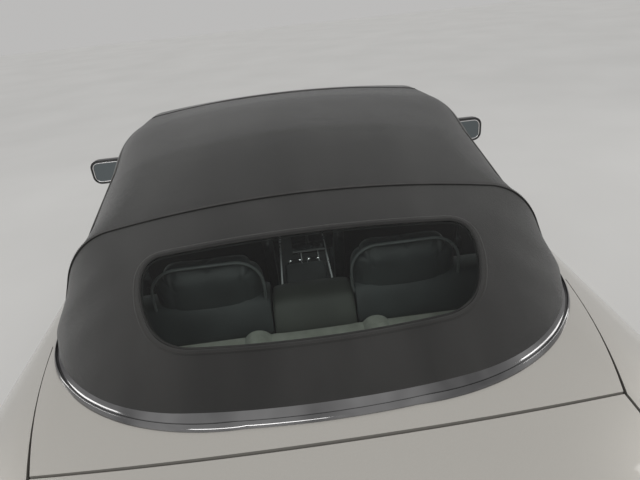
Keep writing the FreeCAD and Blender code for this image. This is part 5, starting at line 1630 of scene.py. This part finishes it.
def waist_y(x):
    return float(np.interp(x, *zip(*sorted(WAIST))))


def waist_strip(name, tree, front, rear):
    starts = [(x, waist_y(x) + 0.004, 2.0) for x in np.arange(front, rear, -0.02)]
    section = [
        (-0.007, -0.002), (-0.0065, 0.0035), (-0.004, 0.0055), (0.0, 0.0062),
        (0.004, 0.0055), (0.0065, 0.0035), (0.007, -0.002),
    ]
    return sweep(name, *lay(tree, starts, DOWN), section, "chrome")


def build_side_trims():
    """Waist strips, handle caps, door cards with their fittings and the fuel flap's line."""
    speaker = [(0.0, 0.004), (0.060, 0.003), (0.068, 0.001), (0.070, -0.004), (0.0, -0.004)]
    both_sides("door_trims", [
        waist_strip("waist_strip", node_tree("door_left"), *DOOR_EDGES),
        block("handle_cap", (0.184, 0.0035, 0.016), 0.0015, "chrome", (-0.385, 0.9135, 0.800)),
        block("door_card", (1.180, 0.012, 0.400), 0.005, "cabin_dark", (0.110, 0.7405, 0.640)),
        block("arm_rest", (0.560, 0.046, 0.052), 0.016, "leather", (0.020, 0.722, 0.640)),
        block("door_pull", (0.150, 0.010, 0.016), 0.004, "chrome", (0.420, 0.732, 0.760)),
        turned("speaker", speaker, "mesh_black", facing(0.520, 0.7345, 0.520, (0, -1, 0)), 40),
    ], "door_left", "door_right")
    both_sides("waist_rear", [waist_strip("waist_strip_rear", node_tree("body_side_left"), -0.566, -0.942)])
    flap = laid_ring("fuel_flap", node_tree("body_side_right"), "right", (-1.585, 0.795),
                     rounded_loop(0.070, 0.052, 0.024, 0.008), round_section(0.0013, 8, 1.0, -0.0006), "seal")
    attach(flap, "root")


def build_wipers():
    """Two wiper arms with their blades, at rest low on the windscreen."""
    screen = node_tree("windscreen")
    pivot_profile = [(0.0, 0.012), (0.010, 0.010), (0.013, 0.0), (0.013, -0.012), (0.0, -0.012)]
    pieces = []
    # Each blade: y of its start and end, y of its pivot
    for start, end, pivot in ((0.60, 0.06, 0.10), (-0.02, -0.56, -0.52)):
        starts = [(2.0, start + (end - start) * t, 1.012 - 0.020 * t) for t in np.linspace(0, 1, 28)]
        path, normals = lay(screen, starts, (-1, 0, 0), 3.0)
        path = path + normals * 0.010
        rubber = path - normals * 0.0075
        middle = path[len(path) // 2] + normals[len(path) // 2] * 0.010
        foot = np.array([0.905, pivot, 0.985])
        arm = even([foot, foot + np.array([-0.045, 0.04, 0.014]), middle], 0.02)
        pieces += [
            sweep("wiper_blade", path, normals, round_section(0.0045, 8, 1.5), "dark_trim"),
            sweep("wiper_rubber", rubber, normals, round_section(0.0020, 6, 1.8), "seal"),
            sweep("wiper_arm", arm, (0.4, 0, 0.9), round_section(0.0055, 8, 0.7), "dark_trim"),
            turned("wiper_pivot", pivot_profile, "gloss", facing(*foot, (0.2, 0, 1)), 24),
        ]
    keep("wipers", pieces)


def build_cabin():
    """Dials, vents, screen, console trims, gear lever, interior mirror and pedals."""
    pieces = [block("dial_hood", (0.150, 0.380, 0.045), 0.020, "cabin_dark", (0.560, SEAT_Y, 0.955))]
    dial = [(0.0, 0.002), (0.050, 0.002), (0.050, -0.010), (0.0, -0.010)]
    dial_ring = [(0.050, -0.010), (0.050, 0.008), (0.053, 0.011), (0.057, 0.008), (0.057, -0.010)]
    for off in (-0.088, 0.088):
        place = facing(0.478, SEAT_Y + off, 0.905, (-1, 0, 0.45))
        needle_at = place @ Matrix.Rotation(0.7, 4, "Y") @ place_of((0, 0.005, 0.014))
        pieces += [
            turned("dial", dial, "dial_face", place),
            turned("dial_ring", dial_ring, "chrome", place, 48, True),
            block("needle", (0.003, 0.002, 0.036), 0.0007, "needle_red", needle_at),
        ]
    vent = [(0.031, -0.008), (0.031, 0.004), (0.034, 0.008), (0.039, 0.006), (0.041, -0.008)]
    for y in (-0.655, -0.120, 0.120, 0.655):
        place = facing(0.474, y, 0.838, (-1, 0, 0.1))
        pieces.append(turned("vent_ring", vent, "chrome", place, 40, True))
        for k in range(-2, 3):
            size = (0.056 - 0.006 * abs(k), 0.010, 0.0018)
            at = place @ place_of((0, -0.001, 0.011 * k))
            pieces.append(block("vent_slat", size, 0.0007, "dark_trim", at))
    # Dashboard and console trims: size, corner, finish, place
    for trim in (
        ((0.012, 0.170, 0.100), 0.004, "screen_dark", (0.477, 0.0, 0.845)),
        ((0.006, 1.300, 0.016), 0.002, "alloy", (0.4765, 0.0, 0.778)),
        ((0.600, 0.010, 0.008), 0.0028, "alloy", (-0.030, 0.116, 0.562)),
        ((0.600, 0.010, 0.008), 0.0028, "alloy", (-0.030, -0.116, 0.562)),
        ((0.360, 0.006, 0.008), 0.0021, "alloy", (0.060, 0.012, 0.562)),
        ((0.360, 0.006, 0.008), 0.0021, "alloy", (0.060, -0.074, 0.562)),
        ((0.200, 0.190, 0.036), 0.0126, "leather", (-0.255, 0.0, 0.578)),
        ((0.300, 0.170, 0.008), 0.0028, "gloss", (0.150, -0.030, 0.564)),
    ):
        pieces.append(block("cabin_trim", *trim))
    cup = [(0.030, 0.0), (0.030, 0.006), (0.033, 0.009), (0.037, 0.006), (0.037, 0.0)]
    for y in (0.045, -0.045):
        pieces.append(turned("cup_ring", cup, "chrome", facing(-0.100, y, 0.560, (0, 0, 1)), 40, True))
    lever = [(0.190, -0.030, 0.565), (0.180, -0.030, 0.640)]
    knob = [(0.0, 0.044), (0.014, 0.041), (0.024, 0.028), (0.024, 0.010), (0.014, 0.0), (0.0, 0.0)]
    stalk = [(0.236, 0.0, 1.240), (0.286, 0.0, 1.250)]
    tilt = Matrix.Rotation(-0.12, 4, "Y")
    mirror_at, glass_at = (place_of((x, 0.0, 1.232)) @ tilt for x in (0.225, 0.2145))
    pieces += [
        sweep("gear_lever", lever, (0, 1, 0), round_section(0.009, 12), "chrome"),
        turned("gear_knob", knob, "knob", facing(0.180, -0.030, 0.630, (0, 0, 1)), 32),
        block("inner_mirror", (0.020, 0.230, 0.060), 0.009, "gloss", mirror_at),
        block("inner_mirror_glass", (0.003, 0.216, 0.048), 0.001, "mirror", glass_at),
        sweep("inner_mirror_stalk", stalk, (0, 0, 1), round_section(0.007, 10), "dark_trim"),
    ]
    for y in (0.28, 0.36, 0.46):
        at = place_of((0.700, y, 0.380)) @ Matrix.Rotation(0.5, 4, "Y")
        pieces.append(block("pedal", (0.012, 0.050, 0.075), 0.004, "dark_trim", at))
    keep("cabin_fittings", pieces)
    pad_profile = [(0.0, 0.030), (0.030, 0.028), (0.052, 0.020), (0.060, 0.006), (0.060, 0.0), (0.0, 0.0)]
    at = facing(0.395 - 0.927 * 0.020, SEAT_Y, 0.840 + 0.375 * 0.020, (-0.927, 0, 0.375))
    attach(turned("wheel_pad", pad_profile, "leather", at), "steering_wheel")


def build_bays():
    """What shows under the lids: engine cover, radiator, battery, bottle, hoses and boot carpet."""
    # Boxes: name, size, corner, finish, place
    pieces = [block(*row) for row in (
        ("engine_cover", (0.420, 0.300, 0.030), 0.012, "dark_trim", (1.470, 0, 0.812)),
        ("radiator", (0.036, 0.760, 0.330), 0.006, "mesh_black", (2.110, 0, 0.540)),
        ("battery", (0.240, 0.150, 0.170), 0.010, "dark_trim", (1.080, -0.360, 0.430)),
        ("bottle", (0.150, 0.110, 0.150), 0.030, "bottle_white", (1.930, 0.350, 0.480)),
    )]
    for k in range(7):
        at = (1.470, -0.108 + 0.036 * k, 0.829)
        pieces.append(block("cover_rib", (0.320, 0.010, 0.008), 0.003, "dark_trim", at))
    for y in (0.162, -0.162):
        pieces.append(block("head_cover", (0.480, 0.130, 0.022), 0.009, "engine_alloy", (1.495, y, 0.779)))
    oil_cap = [(0.0, 0.018), (0.024, 0.016), (0.028, 0.008), (0.028, 0.0), (0.0, 0.0)]
    pieces.append(turned("oil_cap", oil_cap, "dark_trim", facing(1.640, 0.162, 0.788, (0, 0, 1)), 32))
    upper = [(1.700, 0.040, 0.760), (1.820, 0.060, 0.780), (1.960, 0.100, 0.720), (2.085, 0.150, 0.660)]
    lower = [(1.760, -0.120, 0.480), (1.880, -0.180, 0.440), (2.000, -0.240, 0.420), (2.090, -0.260, 0.430)]
    for path in (upper, lower):
        smooth = refine_rows(np.array(path)[:, None], 8)[:, 0]
        pieces.append(sweep("hose", smooth, (0, 0.3, 1), round_section(0.019, 14), "seal"))
    keep("engine_bay_fittings", pieces)
    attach(block("boot_carpet", (0.420, 1.020, 0.010), 0.004, "shelf_dark", (-2.060, 0, 0.4055)), "root")


def build_shoulders():
    """Padded rear covers of the bench backs and the grey-green panel between them."""
    profile = [
        (-0.960, 0.880), (-0.958, 0.975), (-0.975, 0.994), (-1.010, 1.000), (-1.052, 0.999), (-1.074, 0.988),
        (-1.092, 0.950), (-1.107, 0.905), (-1.108, 0.875),
    ]
    # Cover: middle y, half width, finish, share of the height, crown
    covers = [
        ("bench_cover_left", 0.381, 0.259, "leather", 1.0, 0.0),
        ("bench_cover_right", -0.381, 0.259, "leather", 1.0, 0.0),
        ("bench_panel_middle", 0.0, 0.119, "shelf_leather", 0.74, 0.008),
    ]
    stations = 29
    for name, middle, half, finish, high, raised in covers:
        points = []
        for k in range(stations):
            u = -1 + 2 * k / (stations - 1)
            across = math.sin(u * math.pi / 2)
            shrink = (1 - abs(across) ** 16) ** 0.5
            crown = 0.004 * (1 - u * u)
            long, tall = 0.985 + 0.015 * shrink, high * (0.94 + 0.06 * shrink)
            for x, z in profile:
                away = Vector((x + 1.02, 0, z - 0.90)).normalized()
                points.append((
                    -1.03 + (x + 1.03) * long + away.x * (crown + raised * 0.4) * shrink - 0.001,
                    middle + half * across,
                    0.88 + (z - 0.88) * tall + away.z * (crown + raised) * shrink))
        piece = add_piece(name, points, tube_faces(stations, len(profile)), finish, 60.0)
        finer(piece, 2)
        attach(piece, "root")


# Stage
FLOOR_SIZE = 60.0
SUN_WIDTH = math.radians(70)
SUN_POWER = 1.75
SKY_LEVEL = 0.40
LAMP_COLOUR = (1.0, 0.985, 0.96)


def build_stage():
    """Pale floor, one wide soft lamp overhead, three faint panels and an even sky."""
    mesh = bpy.data.meshes.new("floor")
    corners = ((-1, -1), (1, -1), (1, 1), (-1, 1))
    mesh.from_pydata([(x * FLOOR_SIZE / 2, y * FLOOR_SIZE / 2, 0) for x, y in corners], [], [(0, 1, 2, 3)])
    floor = placed("floor", mesh)
    f = Finish("pale_floor", (0.56, 0.555, 0.545), 0.55)
    f.colours(f.noise(0.6, 3), (0.54, 0.535, 0.525), (0.58, 0.575, 0.565))
    mesh.materials.append(f.material)
    build_sky()
    data = bpy.data.lights.new("soft_overhead", "SUN")
    data.energy = SUN_POWER
    data.angle = SUN_WIDTH
    data.color = LAMP_COLOUR
    lamp = placed("soft_overhead", data)
    lamp.rotation_euler = (math.radians(14), math.radians(-16), 0)
    lamp.visible_glossy = False
    # Panels: place, width, length, power
    for place, wide, long, power in (
        ((-5.0, 1.5, 3.4), 3.2, 0.5, 30),
        ((1.0, 5.4, 3.4), 0.6, 4.5, 32),
        ((1.0, -5.4, 3.4), 0.6, 4.5, 32),
    ):
        data = bpy.data.lights.new("panel", "AREA")
        data.shape = "RECTANGLE"
        data.size = wide
        data.size_y = long
        data.energy = power
        data.color = LAMP_COLOUR
        lamp = placed("panel", data)
        aim = Vector((-0.3, 0, 0.8)) - Vector(place)
        lamp.rotation_euler = aim.to_track_quat("-Z", "Y").to_euler()
        lamp.location = place


def build_sky():
    """Even sky; what the camera, gloss and glass see of it is as pale as the floor."""
    world = bpy.data.worlds.new("studio")
    world.use_nodes = True
    tree = world.node_tree
    light = tree.nodes["Background"]
    feed(light, {"Color": (0.86, 0.88, 0.9, 1), "Strength": SKY_LEVEL})
    pale = add_node(tree, "ShaderNodeBackground", {"Color": (0.50, 0.495, 0.49, 1), "Strength": 1.0})
    rays = tree.nodes.new("ShaderNodeLightPath").outputs
    seen = rays["Is Camera Ray"]
    for kind in ("Is Glossy Ray", "Is Transmission Ray"):
        seen = add_node(tree, "ShaderNodeMath", {0: seen, 1: rays[kind]}, operation="MAXIMUM").outputs[0]
    mix = add_node(tree, "ShaderNodeMixShader", {"Fac": seen, 1: light.outputs[0], 2: pale.outputs[0]})
    feed(tree.nodes["World Output"], {"Surface": mix.outputs[0]})
    bpy.context.scene.world = world


def name_slots():
    """Map the finishes' names to the record's slots and go through the new pieces; nothing is set on them."""
    slots = {FINISHES[s].name: s for s in {p["material_slot"] for p in frame["record"]["subparts"]}}
    slots["painted_reflection_metal"] = "chrome"
    nodes = set(NODES.values())
    for piece in bpy.context.scene.objects:
        if piece.type != "MESH" or piece in nodes or piece.name == "floor":
            continue


bpy.context.scene.view_settings.view_transform = "Standard"
place_camera()
build_stage()
dress_nodes()
build_roof()
build_moulding(node_tree("tonneau_panel", "body_side_left", "body_side_right"))
build_seats()
build_wheels()
build_mirrors()
build_lamps()
build_front()
build_rear()
build_side_trims()
build_wipers()
build_cabin()
build_bays()

name_slots()
